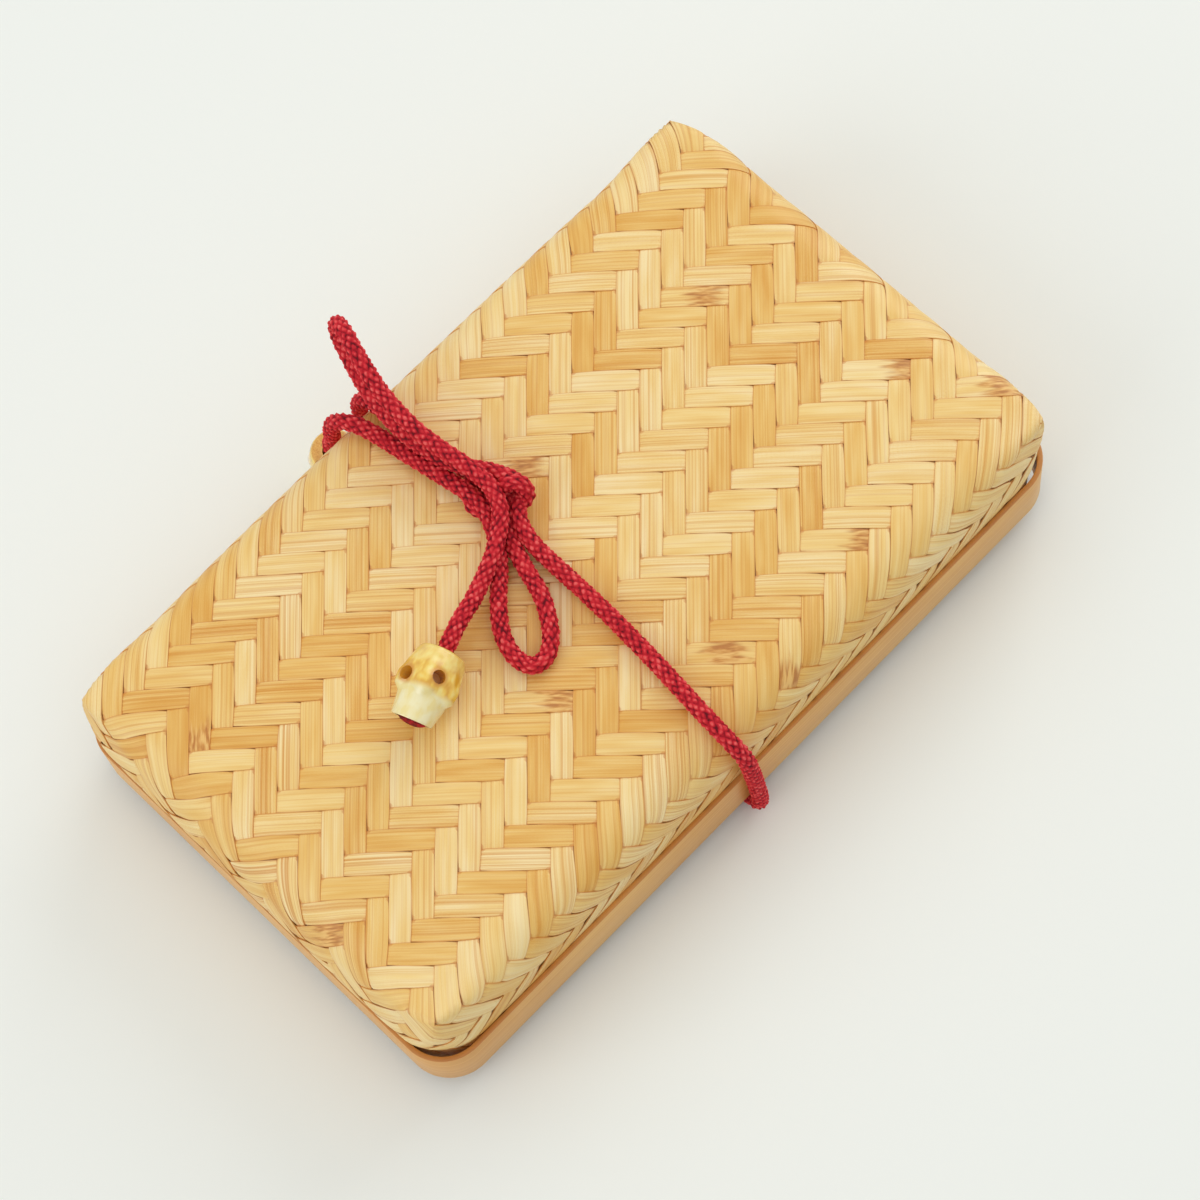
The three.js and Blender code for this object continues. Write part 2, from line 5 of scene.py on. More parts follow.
import bmesh
import bpy
import numpy as np
from mathutils import Matrix, Vector
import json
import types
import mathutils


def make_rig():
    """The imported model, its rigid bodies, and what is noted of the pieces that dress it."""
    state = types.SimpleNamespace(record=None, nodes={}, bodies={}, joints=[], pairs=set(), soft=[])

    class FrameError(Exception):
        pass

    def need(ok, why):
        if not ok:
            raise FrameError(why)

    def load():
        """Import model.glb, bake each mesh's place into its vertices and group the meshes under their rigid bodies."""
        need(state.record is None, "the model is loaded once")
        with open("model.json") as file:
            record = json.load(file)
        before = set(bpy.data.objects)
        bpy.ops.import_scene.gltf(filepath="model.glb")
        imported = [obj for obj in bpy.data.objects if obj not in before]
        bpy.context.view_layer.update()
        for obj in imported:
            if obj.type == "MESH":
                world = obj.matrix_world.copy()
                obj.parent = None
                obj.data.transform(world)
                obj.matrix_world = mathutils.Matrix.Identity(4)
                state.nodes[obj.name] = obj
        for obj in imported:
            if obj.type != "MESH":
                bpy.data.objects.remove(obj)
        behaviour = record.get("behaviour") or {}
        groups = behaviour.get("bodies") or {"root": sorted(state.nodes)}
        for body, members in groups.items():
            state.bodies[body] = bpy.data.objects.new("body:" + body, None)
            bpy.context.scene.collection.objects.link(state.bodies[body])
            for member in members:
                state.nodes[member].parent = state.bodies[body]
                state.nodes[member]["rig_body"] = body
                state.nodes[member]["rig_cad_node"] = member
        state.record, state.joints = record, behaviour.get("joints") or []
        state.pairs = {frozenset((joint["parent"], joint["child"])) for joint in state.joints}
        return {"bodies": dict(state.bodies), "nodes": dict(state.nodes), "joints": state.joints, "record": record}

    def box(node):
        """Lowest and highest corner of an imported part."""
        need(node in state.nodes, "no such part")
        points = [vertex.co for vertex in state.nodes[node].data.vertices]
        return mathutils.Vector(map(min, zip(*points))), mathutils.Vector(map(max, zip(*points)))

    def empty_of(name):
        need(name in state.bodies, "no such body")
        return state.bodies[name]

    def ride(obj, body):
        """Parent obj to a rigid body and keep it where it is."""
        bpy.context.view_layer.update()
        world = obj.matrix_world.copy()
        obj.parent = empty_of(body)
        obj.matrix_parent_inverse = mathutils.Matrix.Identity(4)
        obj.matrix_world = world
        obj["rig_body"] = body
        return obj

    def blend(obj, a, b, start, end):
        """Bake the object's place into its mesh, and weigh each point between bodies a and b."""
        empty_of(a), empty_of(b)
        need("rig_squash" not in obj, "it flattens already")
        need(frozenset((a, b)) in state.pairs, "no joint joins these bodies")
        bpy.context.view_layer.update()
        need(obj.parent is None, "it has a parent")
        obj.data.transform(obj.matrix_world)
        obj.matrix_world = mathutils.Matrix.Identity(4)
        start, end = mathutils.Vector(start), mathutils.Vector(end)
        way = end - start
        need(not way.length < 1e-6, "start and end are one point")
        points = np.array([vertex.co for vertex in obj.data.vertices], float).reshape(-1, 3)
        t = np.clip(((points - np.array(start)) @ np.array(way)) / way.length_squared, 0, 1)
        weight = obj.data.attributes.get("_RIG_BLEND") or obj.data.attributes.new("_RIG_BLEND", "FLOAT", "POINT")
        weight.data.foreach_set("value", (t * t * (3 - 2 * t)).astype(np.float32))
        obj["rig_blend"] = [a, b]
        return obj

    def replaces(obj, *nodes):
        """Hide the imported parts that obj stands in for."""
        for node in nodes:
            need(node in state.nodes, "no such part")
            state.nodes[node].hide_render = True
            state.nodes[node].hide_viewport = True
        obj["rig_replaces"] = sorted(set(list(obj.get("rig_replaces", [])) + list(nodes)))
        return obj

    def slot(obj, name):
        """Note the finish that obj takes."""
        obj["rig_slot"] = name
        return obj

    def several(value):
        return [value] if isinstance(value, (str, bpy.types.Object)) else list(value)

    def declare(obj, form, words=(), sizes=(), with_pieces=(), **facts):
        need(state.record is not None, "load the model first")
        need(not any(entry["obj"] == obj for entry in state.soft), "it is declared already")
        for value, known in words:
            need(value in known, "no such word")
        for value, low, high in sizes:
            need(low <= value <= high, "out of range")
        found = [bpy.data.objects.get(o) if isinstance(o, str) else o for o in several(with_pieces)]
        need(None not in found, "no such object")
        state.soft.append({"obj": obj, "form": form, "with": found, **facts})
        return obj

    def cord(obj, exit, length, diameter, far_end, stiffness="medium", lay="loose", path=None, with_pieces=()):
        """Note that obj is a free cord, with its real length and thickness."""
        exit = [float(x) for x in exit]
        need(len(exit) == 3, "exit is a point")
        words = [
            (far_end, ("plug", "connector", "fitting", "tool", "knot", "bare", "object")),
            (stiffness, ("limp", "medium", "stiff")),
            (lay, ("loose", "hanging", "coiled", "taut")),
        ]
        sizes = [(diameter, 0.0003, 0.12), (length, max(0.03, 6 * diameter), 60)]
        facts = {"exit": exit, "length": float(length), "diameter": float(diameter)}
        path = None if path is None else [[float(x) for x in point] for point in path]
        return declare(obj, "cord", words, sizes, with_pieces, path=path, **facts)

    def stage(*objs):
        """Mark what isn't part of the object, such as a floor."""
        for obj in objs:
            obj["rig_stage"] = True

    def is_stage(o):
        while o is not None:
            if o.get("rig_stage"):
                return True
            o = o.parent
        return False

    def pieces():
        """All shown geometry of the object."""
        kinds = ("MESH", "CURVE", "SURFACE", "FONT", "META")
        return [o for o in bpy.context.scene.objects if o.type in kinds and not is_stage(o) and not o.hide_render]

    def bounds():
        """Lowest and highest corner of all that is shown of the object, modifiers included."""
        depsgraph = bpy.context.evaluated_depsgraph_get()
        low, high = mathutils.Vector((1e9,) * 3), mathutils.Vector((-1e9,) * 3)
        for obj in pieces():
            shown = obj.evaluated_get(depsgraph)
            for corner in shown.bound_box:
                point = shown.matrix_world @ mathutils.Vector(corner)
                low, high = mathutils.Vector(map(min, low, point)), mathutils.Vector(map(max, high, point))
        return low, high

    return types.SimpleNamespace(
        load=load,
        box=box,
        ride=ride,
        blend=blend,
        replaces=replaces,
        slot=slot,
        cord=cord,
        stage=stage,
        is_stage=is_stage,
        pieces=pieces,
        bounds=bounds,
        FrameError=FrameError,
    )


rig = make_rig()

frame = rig.load()
cad_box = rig.bounds()
scene = bpy.context.scene
MM = 0.001
TINY = 1e-6


def link(name, data):
    thing = bpy.data.objects.new(name, data)
    scene.collection.objects.link(thing)
    return thing


# Camera, fitted to the hoop's two edges and the lid's four tips
CAMERA_AZIMUTH = -0.588589
CAMERA_ELEVATION = 1.206036
CAMERA_ROLL = -0.220543
CAMERA_DISTANCE = 0.80940
CAMERA_TARGET = Vector((0.0062212, -0.0017552, 0.006))
SENSOR_WIDTH = 36
LENS = 104.77


def add_camera():
    back = Vector((
        math.sin(CAMERA_AZIMUTH) * math.cos(CAMERA_ELEVATION),
        -math.cos(CAMERA_AZIMUTH) * math.cos(CAMERA_ELEVATION),
        math.sin(CAMERA_ELEVATION),
    ))
    level = Vector((math.cos(CAMERA_AZIMUTH), math.sin(CAMERA_AZIMUTH), 0))
    upright = back.cross(level)
    right = math.cos(CAMERA_ROLL) * level + math.sin(CAMERA_ROLL) * upright
    up = back.cross(right)
    lens = bpy.data.cameras.new("photo_view")
    lens.sensor_width = SENSOR_WIDTH
    lens.lens = LENS
    turn = Matrix((right, up, back)).transposed().to_4x4()
    scene.camera = link("photo_view", lens)
    scene.camera.matrix_world = Matrix.Translation(CAMERA_TARGET + back * CAMERA_DISTANCE) @ turn


add_camera()


# Making a piece
def to_mesh(name, bm):
    mesh = bpy.data.meshes.new(name)
    bm.to_mesh(mesh)
    bm.free()
    mesh.shade_smooth()
    return mesh


def read_points(mesh):
    points = np.empty(3 * len(mesh.vertices))
    mesh.vertices.foreach_get("co", points)
    return points.reshape(-1, 3)


def write_points(mesh, points):
    mesh.vertices.foreach_set("co", np.ascontiguousarray(points, float).ravel())
    mesh.update()


def write_attribute(mesh, name, values):
    kind, field = ("FLOAT_VECTOR", "vector") if values.ndim == 2 else ("FLOAT", "value")
    data = mesh.attributes.new(name, kind, "POINT").data
    data.foreach_set(field, np.ascontiguousarray(values, float).ravel())


def add_piece(mesh, slot, *nodes):
    """Puts a mesh in the scene under its own name, in place of the nodes that it stands for."""
    piece = link(mesh.name, mesh)
    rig.slot(piece, slot)
    if nodes:
        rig.replaces(piece, *nodes)
    return piece


def mark_sharp(bm, angle):
    for edge in bm.edges:
        edge.smooth = edge.calc_face_angle(0) < angle


# Cord: one braided cord round the box, through the same points as in the part's source
CORD_DIAMETER = 4.4 * MM
FRONT_BEAD_RIM = Vector((-0.0512, -0.0060, 0.0527))
FRONT_BEAD_AXIS = Vector((0.939, 0.344, 0)).normalized()
BACK_BEAD_RIM = Vector((-0.0120, 0.0666, 0.0012))
BACK_BEAD_AXIS = Vector((0, 0, 1))
BEAD_LENGTH = 16.5 * MM
END_KNOT_DEPTH = 3 * MM
STRAIGHT_OUT_OF_FRONT_BEAD = 8.5 * MM
STRAIGHT_OUT_OF_BACK_BEAD = 3.5 * MM


def out_of_bead(rim, axis, straight):
    return [rim + axis * reach for reach in (END_KNOT_DEPTH, BEAD_LENGTH, BEAD_LENGTH + straight)]


def in_metres(*points):
    """Points given in mm."""
    return [tuple(round(c * MM, 7) for c in point) for point in points]


TAIL_AND_BACK_LOOP = out_of_bead(
    FRONT_BEAD_RIM, FRONT_BEAD_AXIS, STRAIGHT_OUT_OF_FRONT_BEAD
) + in_metres(
    (-22, 4.3, 51.9), (-16.4, 6.4, 52), (-11.8, 8.3, 52.6), (-8.2, 10.4, 53), (-5.4, 12.4, 53.5),
    (-3, 15.2, 54.3), (-1.6, 19.2, 55.2), (-2, 25.6, 56.5), (-3, 32, 57), (-3.8, 40, 57.8),
    (-3.4, 50.4, 60.4), (-1.1, 60.6, 63.2), (0.6, 65.6, 62.8), (1.7, 69.4, 60.8), (1.9, 71.2, 58),
    (1.2, 70.4, 55.2), (-0.2, 66.8, 53.6), (-3.6, 55.2, 52), (-4.8, 43, 51.9), (-3.8, 34, 52.4),
    (-1.8, 28, 52.8), (0.6, 23.8, 53.2), (2.2, 20.6, 53.4), (3.4, 17.7, 53), (3.6, 15.3, 52.1),
)
ROUND_THE_BOX = in_metres(
    (2.5, 13.6, 51.3), (0.4, 12.7, 50.9), (-1.6, 10.8, 50.8), (-3, 7.5, 50.2), (-3.7, 3, 49.4),
    (-3.8, -4, 49.2), (-4, -18, 49), (-4.8, -34, 48.2), (-6, -49, 47.3), (-6.2, -54.8, 46.1),
    (-6, -59, 43.2), (-5.6, -61.3, 39.2), (-4.9, -62.1, 30), (-4.2, -62.3, 19.5),
    (-3.6, -62.35, 9), (-3.6, -62.1, 5.6), (-3.6, -60.9, 3.5), (-3.6, -58.2, 2.65),
    (-3.6, -53, 2.6), (-3.7, 0, 2.6), (-3.9, 53, 2.6), (-4, 58.2, 2.65), (-4, 60.9, 3.5),
    (-4, 62.1, 5.6), (-4, 62.35, 9), (-4.1, 62.4, 19.5), (-4.1, 62.5, 31), (-3.9, 62, 38),
    (-3.6, 60, 42.5), (-3.3, 56.4, 45.6), (-3, 50.5, 46.9), (-2.2, 41, 47.9), (-1.4, 32, 48.4),
    (-1, 25, 48.65),
)
FRONT_LOOP_AND_TAIL = in_metres(
    (-1.3, 19.6, 48.8), (-2.5, 15.2, 48.85), (-4.4, 11.4, 48.9), (-6.5, 7.8, 49),
    (-8.3, 3.4, 49.2), (-10.9, -5.2, 49.2), (-13.3, -9.6, 49.1), (-16.4, -13.6, 49),
    (-20.2, -16, 48.9), (-23.6, -15.4, 48.9), (-24.9, -12.2, 48.9), (-24.2, -7.8, 49),
    (-21.9, -3.4, 49.1), (-17.8, 1.2, 49), (-13.8, 5, 48.9), (-10.3, 8.6, 48.9), (-8, 12, 49.2),
    (-6.4, 15, 49.9), (-5.3, 18.2, 50.6), (-5.1, 21.6, 50.9), (-5.4, 25.2, 50.8),
    (-5.9, 29.4, 50.2), (-6.5, 34, 49.5), (-7.3, 40.5, 48.4), (-8.6, 50, 47.3),
    (-9.7, 54.8, 46.9), (-11.1, 58.6, 45.2), (-12.1, 61.3, 41.6), (-12.5, 62.6, 36.4),
    (-12.2, 64.1, 29),
) + out_of_bead(BACK_BEAD_RIM, BACK_BEAD_AXIS, STRAIGHT_OUT_OF_BACK_BEAD)[::-2]
KNOT_TURN = in_metres(
    (-3.3, 25.8, 50.3), (-4.8, 23.1, 49.9), (-6.2, 20.4, 49.7), (-5.4, 18.1, 49.7),
    (-3.2, 18.1, 50), (-1.4, 18.5, 50.8), (0.6, 17.6, 53.3), (2.2, 16.4, 55.3), (3.2, 14.9, 55.4),
    (3.5, 13.4, 53.8), (2.9, 12.8, 51.8), (1.6, 13.3, 50.4), (0.7, 14.7, 49.9), (0.2, 16.4, 50),
    (0.3, 18.3, 50.3),
)

STRANDS_EACH_WAY = 7
BRAID_PITCH = 2.4 * MM
STEPS_PER_DIAMOND = 9
RING_GAP = BRAID_PITCH / STEPS_PER_DIAMOND
POINTS_ROUND = STRANDS_EACH_WAY * STEPS_PER_DIAMOND
STRAND_RELIEF = 0.60 * MM
STRAND_DIVE = 0.95
STRAND_CROWN = 1.7
STRAND_ARCH = 1.9
LOWEST_BUMP = 0.72
BUMPS_BEFORE_REPEAT = 97
BRAID_WANDER = 0.10
BRAID_WANDER_WAVE = 1.3
BRAID_DRAW = 5
CAP_FOLD = math.radians(179)


def smooth_curve(points, steps=40):
    """A centripetal Catmull-Rom curve through the points, and where on it each point is."""
    route = np.array(points, float)
    ends = [2 * route[0] - route[1]], [2 * route[-1] - route[-2]]
    p = np.concatenate([ends[0], route, ends[1]])
    gap = np.sqrt(np.linalg.norm(np.diff(p, axis=0), axis=1))[:, None]
    start, stop = p[1:-2], p[2:-1]
    g0, g1, g2 = gap[:-2], gap[1:-1], gap[2:]
    leave = ((start - p[:-3]) / g0 - (stop - p[:-3]) / (g0 + g1) + (stop - start) / g1) * g1
    arrive = ((stop - start) / g1 - (p[3:] - start) / (g1 + g2) + (p[3:] - stop) / g2) * g1
    t = (np.arange(steps) / steps)[:, None, None]
    curve = (
        start + t * leave + t**2 * (3 * (stop - start) - 2 * leave - arrive)
        + t**3 * (2 * (start - stop) + leave + arrive)
    )
    curve = np.concatenate([curve.transpose(1, 0, 2).reshape(-1, 3), route[-1:]])
    return curve, np.arange(len(route)) * steps


def even_rings(curve, gap):
    """Points about a gap apart along the curve, and the length up to each point of the curve."""
    run = np.concatenate([[0], np.cumsum(np.linalg.norm(np.diff(curve, axis=0), axis=1))])
    count = round(run[-1] / gap) + 1
    at = np.linspace(0, run[-1], count)
    return np.stack([np.interp(at, run, curve[:, axis]) for axis in range(3)], axis=1), run


def untwisted_frames(rings):
    """Two directions across the cord at each ring, which don't twist about it."""
    ahead = np.gradient(rings, axis=0)
    ahead /= np.linalg.norm(ahead, axis=1)[:, None]
    side = np.cross(ahead[0], (0, 0, 1))
    sides = []
    for direction in ahead:
        side = side - direction * (side @ direction)
        side = side / np.linalg.norm(side)
        sides.append(side)
    sides = np.array(sides)
    return sides, np.cross(ahead, sides)


def braid_relief(across, along):
    """Height from 0 to 1 of the strand on top, in a round braid that crosses one over one."""
    draw = np.random.default_rng(BRAID_DRAW)
    unevenness = draw.uniform(LOWEST_BUMP, 1, (STRANDS_EACH_WAY * 2, BUMPS_BEFORE_REPEAT))
    turn = 2 * math.pi * across / STRANDS_EACH_WAY
    across = across + BRAID_WANDER * np.sin(BRAID_WANDER_WAVE * along) * np.sin(turn)
    left = across + along
    right = across - along
    on_left = (np.floor(left) + np.floor(right)) % 2 == 0
    from_middle = abs(np.stack([left % 1, right % 1]) - 0.5) * 2
    width_way = np.where(on_left, from_middle[0], from_middle[1])
    length_way = np.where(on_left, from_middle[1], from_middle[0])
    row = np.floor(left + right).astype(int) % (2 * STRANDS_EACH_WAY)
    column = np.floor(left - right).astype(int) % BUMPS_BEFORE_REPEAT
    crown = 1 - width_way**STRAND_CROWN
    return unevenness[row, column] * crown * (1 - STRAND_DIVE * length_way**STRAND_ARCH)


def braided_tube(name, rings, sides, uprights, first_ring):
    """A braid round a run of rings: a grid rolled into a tube, closed at its ends and shaped."""
    bm = bmesh.new()
    bmesh.ops.create_grid(bm, x_segments=len(rings) - 1, y_segments=POINTS_ROUND, size=1)
    first = {round(v.co.x, 6): v for v in bm.verts if v.co.y < -1 + TINY}
    last = {round(v.co.x, 6): v for v in bm.verts if v.co.y > 1 - TINY}
    bmesh.ops.weld_verts(bm, targetmap={last[x]: first[x] for x in first})
    bmesh.ops.holes_fill(bm, edges=[e for e in bm.edges if e.is_boundary], sides=0)
    mark_sharp(bm, CAP_FOLD)
    mesh = to_mesh(name, bm)
    flat = read_points(mesh)
    ring = np.rint((flat[:, 0] + 1) / 2 * (len(rings) - 1)).astype(int)
    place = np.rint((flat[:, 1] + 1) / 2 * POINTS_ROUND) / POINTS_ROUND
    relief = braid_relief(place * STRANDS_EACH_WAY, (ring + first_ring) / STEPS_PER_DIAMOND)
    turn = 2 * math.pi * place
    radius = CORD_DIAMETER / 2 - STRAND_RELIEF * (1 - relief)
    out = np.cos(turn)[:, None] * sides[ring] + np.sin(turn)[:, None] * uprights[ring]
    write_points(mesh, rings[ring] + out * radius[:, None])
    write_attribute(mesh, "strand_height", relief)
    return mesh


def knot_turn():
    """The turn that the bow's knot takes round its own strands, its ends hidden in the knot."""
    rings, _ = even_rings(smooth_curve(KNOT_TURN)[0], RING_GAP)
    return braided_tube("cord_knot_turn", rings, *untwisted_frames(rings), 0)


def cut_cord():
    """The cord's three stretches, which meet in the knot: each one's mesh and its path."""
    curve, knots = smooth_curve(TAIL_AND_BACK_LOOP + ROUND_THE_BOX + FRONT_LOOP_AND_TAIL)
    rings, run = even_rings(curve, RING_GAP)
    sides, uprights = untwisted_frames(rings)
    cuts = [len(TAIL_AND_BACK_LOOP), len(TAIL_AND_BACK_LOOP) + len(ROUND_THE_BOX)]
    cut_rings = [round(run[knots[c]] / run[-1] * (len(rings) - 1)) for c in cuts]
    spans = zip([0, *cut_rings], [*cut_rings, len(rings) - 1])
    names = ("cord_tail_and_back_loop", "cord_round_box", "cord_front_loop_and_tail")
    for name, (start, stop) in zip(names, spans):
        part = slice(start, stop + 1)
        mesh = braided_tube(name, rings[part], sides[part], uprights[part], start)
        yield mesh, rings[part]


def path_length(path):
    return float(np.linalg.norm(np.diff(path, axis=0), axis=1).sum())


(tail_mesh, tail_path), (round_mesh, round_path), (front_mesh, front_path) = cut_cord()
cord_tail = add_piece(
    tail_mesh, "braided_cord", "cord_tail_front", "cord_loop_back", "cord_end_knot_front"
)
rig.ride(cord_tail, "lid")
cord_knot = add_piece(knot_turn(), "braided_cord", "cord_knot")
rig.ride(cord_knot, "lid")
cord_round = add_piece(
    round_mesh, "braided_cord",
    "cord_top_front", "cord_side_front", "cord_under_run", "cord_side_back", "cord_top_back",
)
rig.blend(cord_round, "tray", "lid", start=(0, 0, 0.009), end=(0, 0, 0.042))
cord_front = add_piece(
    front_mesh, "braided_cord", "cord_loop_front", "cord_tail_back", "cord_end_knot_back"
)
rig.ride(cord_front, "lid")


# Weave: strips at 45 degrees to the box, laid out flat and folded up into a pillowed box
STRIP_WIDTH = 4.97 * MM
STRIP_THICKNESS = 0.42 * MM
FLOAT_HEIGHT = 0.25 * MM
FLOAT_BOW = 0.08 * MM
CROSSING_CHANGE = 0.62
STRIP_EDGE_DROP = 0.07 * MM
SLIT_ON_TOP = 0.055
SLIT_CHANGE = 0.75
SLIT_ON_WALL = 0.26
WALL_SLACK = 0.022
CORNER_TRIM = 0.018
TRIM_RUN = 0.9
SLIT_WAVE = 4.3
SLIT_PHASE = 3
SLIT_END = 2.5
SWAY_ON_TOP = 0.03 * MM
SWAY_ON_WALL = 0.30 * MM
SWAY_WAVE = 1.9
NODE_SPACING = 0.9
FOLD_RADIUS = 8 * MM
ROUNDING_RUN = 26 * MM
LEAST_RADIUS = 1e-9
BULGE_FULLNESS = 6
BELLY_TO_ONE = 27 / 4
SAG_END = 3
SAG_SIDE = 1.5
FOOT_FULLNESS = 4
CORNER_NEARNESS = 10
TIP_FADE = 4
TWILL_OVER = 3
TWILL_PHASE = 4
HALF_FLOAT = TWILL_OVER / 2
WALL_START = 0.2
WALL_RUN = 1.4
LONGEST_REACH = 30
REACH_STEPS = 6001
SLOPE_STEP_ALONG = 0.03
SLOPE_STEP_ACROSS = 0.3
# Painted shade: a strip turns brown where it passes under a crossing strip, more the further under it goes.
UNDER_SHADE_START = 0.97
UNDER_SHADE_BY_LEVEL = 0.1
STRIP_FOLD = math.radians(60)
STRIP_EDGE_FULLNESS = 4
FEWEST_STEPS = 4

LID_FORM = SimpleNamespace(
    name="lid", half=np.array((94.2, 55.7, 37.3)) * MM, units=(13.5, 8), crown=3 * MM,
    bulge=((3 * MM, 5.2 * MM), (2.5 * MM, 3.6 * MM)), sag=3 * MM, foot=0, free_wall=0.4745,
    belly=((1.6 * MM, 0.6 * MM), (0.5 * MM, 0.6 * MM)), belly_foot=0.58,
    spread=(3.9 * MM, 2.1 * MM), corner_round=13 * MM, rim_z=6 * MM, facing=1,
    corner_moves=(
        ((1, 1), *in_metres((-0.6, 1.6, 0), (0, 0, 0))),
        ((1, -1), *in_metres((1.6, -0.6, 0), (0, 0, 0))),
        ((-1, -1), *in_metres((0.4, 0.4, 1.0), (0, 0, 0))),
        ((-1, 1), *in_metres((-1.9, -0.1, -1.2), (-0.6, 1.0, 0))),
    ),
    lines=21, steps=5, across=4, draws={True: 41, False: 34},
    nodes={False: (
        (12, 3.21), (-7, -0.03), (8, 7.65), (-17, -5.11), (-5, 3.67), (4, -0.79), (0, 6.66),
    )},
)
TRAY_FORM = SimpleNamespace(
    name="tray", half=np.array((91.5, 53, 39.45)) * MM, units=(13, 7.5), crown=-1.5 * MM,
    bulge=((1.5 * MM, 1.5 * MM), (1.5 * MM, 1.5 * MM)), sag=0, foot=6.4 * MM, free_wall=0.6705,
    belly=((0, 0), (0, 0)), belly_foot=1,
    spread=(-1.1 * MM, -1.1 * MM), corner_round=13 * MM, rim_z=39.25 * MM, facing=-1,
    corner_moves=(),
    lines=20, steps=3, across=4, draws={True: 35, False: 28}, nodes={},
)


def edge_rounding(distance, radius, reach):
    """How far a point near a rounded fold moves along its own face, and inward."""
    arc = radius * math.pi / 4
    turn = np.maximum(arc - distance, 0) / radius
    fade = np.clip(1 - (distance - arc) / (reach - arc), 0, 1)
    on_arc = distance < arc
    along = np.where(
        on_arc, radius * (1 - np.sin(turn)) - distance, radius * (1 - math.pi / 4) * fade
    )
    return along, np.where(on_arc, radius * (1 - np.cos(turn)), 0)


def ease(t):
    """A smooth step from 0 to 1."""
    return t * t * (3 - 2 * t)


def rounding_at(run, radius):
    """A fold's radius, which shrinks to nothing where the fold runs into the box's corner."""
    t = np.clip(run / ROUNDING_RUN, 0, 1)
    return np.maximum(radius * ease(t), LEAST_RADIUS)


def pillow(form, point, face):
    """Points on faces of a sharp box, moved to the pillowed box. Faces: 0 end, 1 side, 2 top."""
    every = np.arange(len(point))
    half = form.half
    reach = half * (1, 1, 2)
    depth = half - abs(point)
    depth[:, 2] = half[2] - point[:, 2]
    inward = np.zeros_like(point)
    for axis in range(3):
        other = 3 - axis - face
        upright = (axis != 2) & (face != 2)
        rounded = rounding_at(
            depth[every, np.clip(other, 0, 2)], np.where(upright, form.corner_round, FOLD_RADIUS)
        )
        along, inside = edge_rounding(depth[:, axis], rounded, reach[axis])
        off_face = face != axis
        inward[:, axis] += np.where(off_face, along, 0)
        inward[every, face] += np.where(off_face, inside, 0)
    u = point[:, 0] / half[0]
    w = point[:, 1] / half[1]
    down = np.clip(depth[:, 2] / half[2], 0, 1)
    to_hoop = np.minimum(1, down / form.free_wall)
    low = np.clip(down / form.belly_foot, 0, 1)
    belly = BELLY_TO_ONE * low**2 * (1 - low)
    sag = form.sag * np.clip((1 - u) / 2, 0, 1) ** SAG_END
    sag = sag * np.clip((1 + w) / 2, 0, 1) ** SAG_SIDE * (1 - down)
    foot = form.foot * (1 - abs(u * w) ** FOOT_FULLNESS) * (1 - down)
    crown = np.where(face == 2, form.crown * (1 - u * u) * (1 - w * w), 0)
    place = np.empty_like(point)
    place[:, 2] = point[:, 2] - inward[:, 2] + crown - sag - foot
    for axis, (here, there) in enumerate(((u, w), (w, u))):
        bulge = np.where(here > 0, form.bulge[axis][1], form.bulge[axis][0]) * (1 - to_hoop)
        bulge += np.where(here > 0, form.belly[axis][1], form.belly[axis][0]) * belly
        out = bulge * (1 - abs(there) ** BULGE_FULLNESS) + form.spread[axis] * to_hoop
        place[:, axis] = point[:, axis] - np.sign(here) * inward[:, axis] + here * out
    for (x, y), at_tip, on_edge in form.corner_moves:
        near = (np.clip(u * x, 0, 1) * np.clip(w * y, 0, 1)) ** CORNER_NEARNESS
        place += (near * (1 - down) ** TIP_FADE)[:, None] * at_tip
        place += (near * belly)[:, None] * on_edge
    return place


def fold_up(form, u, v):
    """Where the flat weave's points lie on the box. Strips that pass a corner go on round it."""
    end, side = form.units
    past_end = abs(u) - end
    past_side = abs(v) - side
    on_side = (past_side > 0) & ((past_end <= 0) | (past_end > past_side))
    on_end = (past_end > 0) & ~on_side
    round_corner = (past_end > 0) & (past_side > 0)
    u_at = np.where(on_side & round_corner, np.sign(u) * (end - past_side), u)
    u_at = np.where(on_end, np.sign(u) * end, np.clip(u_at, -end, end))
    v_at = np.where(on_end & round_corner, np.sign(v) * (side - past_end), v)
    v_at = np.where(on_side, np.sign(v) * side, np.clip(v_at, -side, side))
    end_depth, side_depth = np.maximum(past_end, 0), np.maximum(past_side, 0)
    depth = np.where(
        round_corner, end_depth * on_side + side_depth * on_end, np.maximum(end_depth, side_depth)
    )
    face = np.where(on_side, 1, np.where(on_end, 0, 2))
    height = form.half[2] - depth * unit_of(form)
    sharp = np.stack([u_at / end * form.half[0], v_at / side * form.half[1], height], axis=1)
    place = pillow(form, sharp, face)
    if form.facing < 0:
        place[:, 1:] *= -1
    place[:, 2] += form.rim_z
    return place, depth


def unit_of(form):
    """The side of the lattice's square: two strips cross in each, measured along the box."""
    return (form.half[0] / form.units[0] + form.half[1] / form.units[1]) / 2


def sheet_place(rising, line, along, aside):
    """Flat weave coordinates of a place on a strip: along it, and aside from its middle."""
    if rising:
        return along - line / 2 - aside, along + line / 2 + aside
    return line / 2 + along + aside, line / 2 - along + aside


def rising_on_top(form, u, v):
    """Whether the rising strip is on top at a crossing of the three over three twill."""
    past_end = abs(u) - form.units[0]
    past_side = abs(v) - form.units[1]
    turned = past_end > abs(past_side)
    row = np.where(turned, 2 * np.sign(v) * (form.units[1] + past_end), 2 * v)
    on_top = np.rint(row + TWILL_PHASE) % (2 * TWILL_OVER) < TWILL_OVER
    return on_top ^ turned


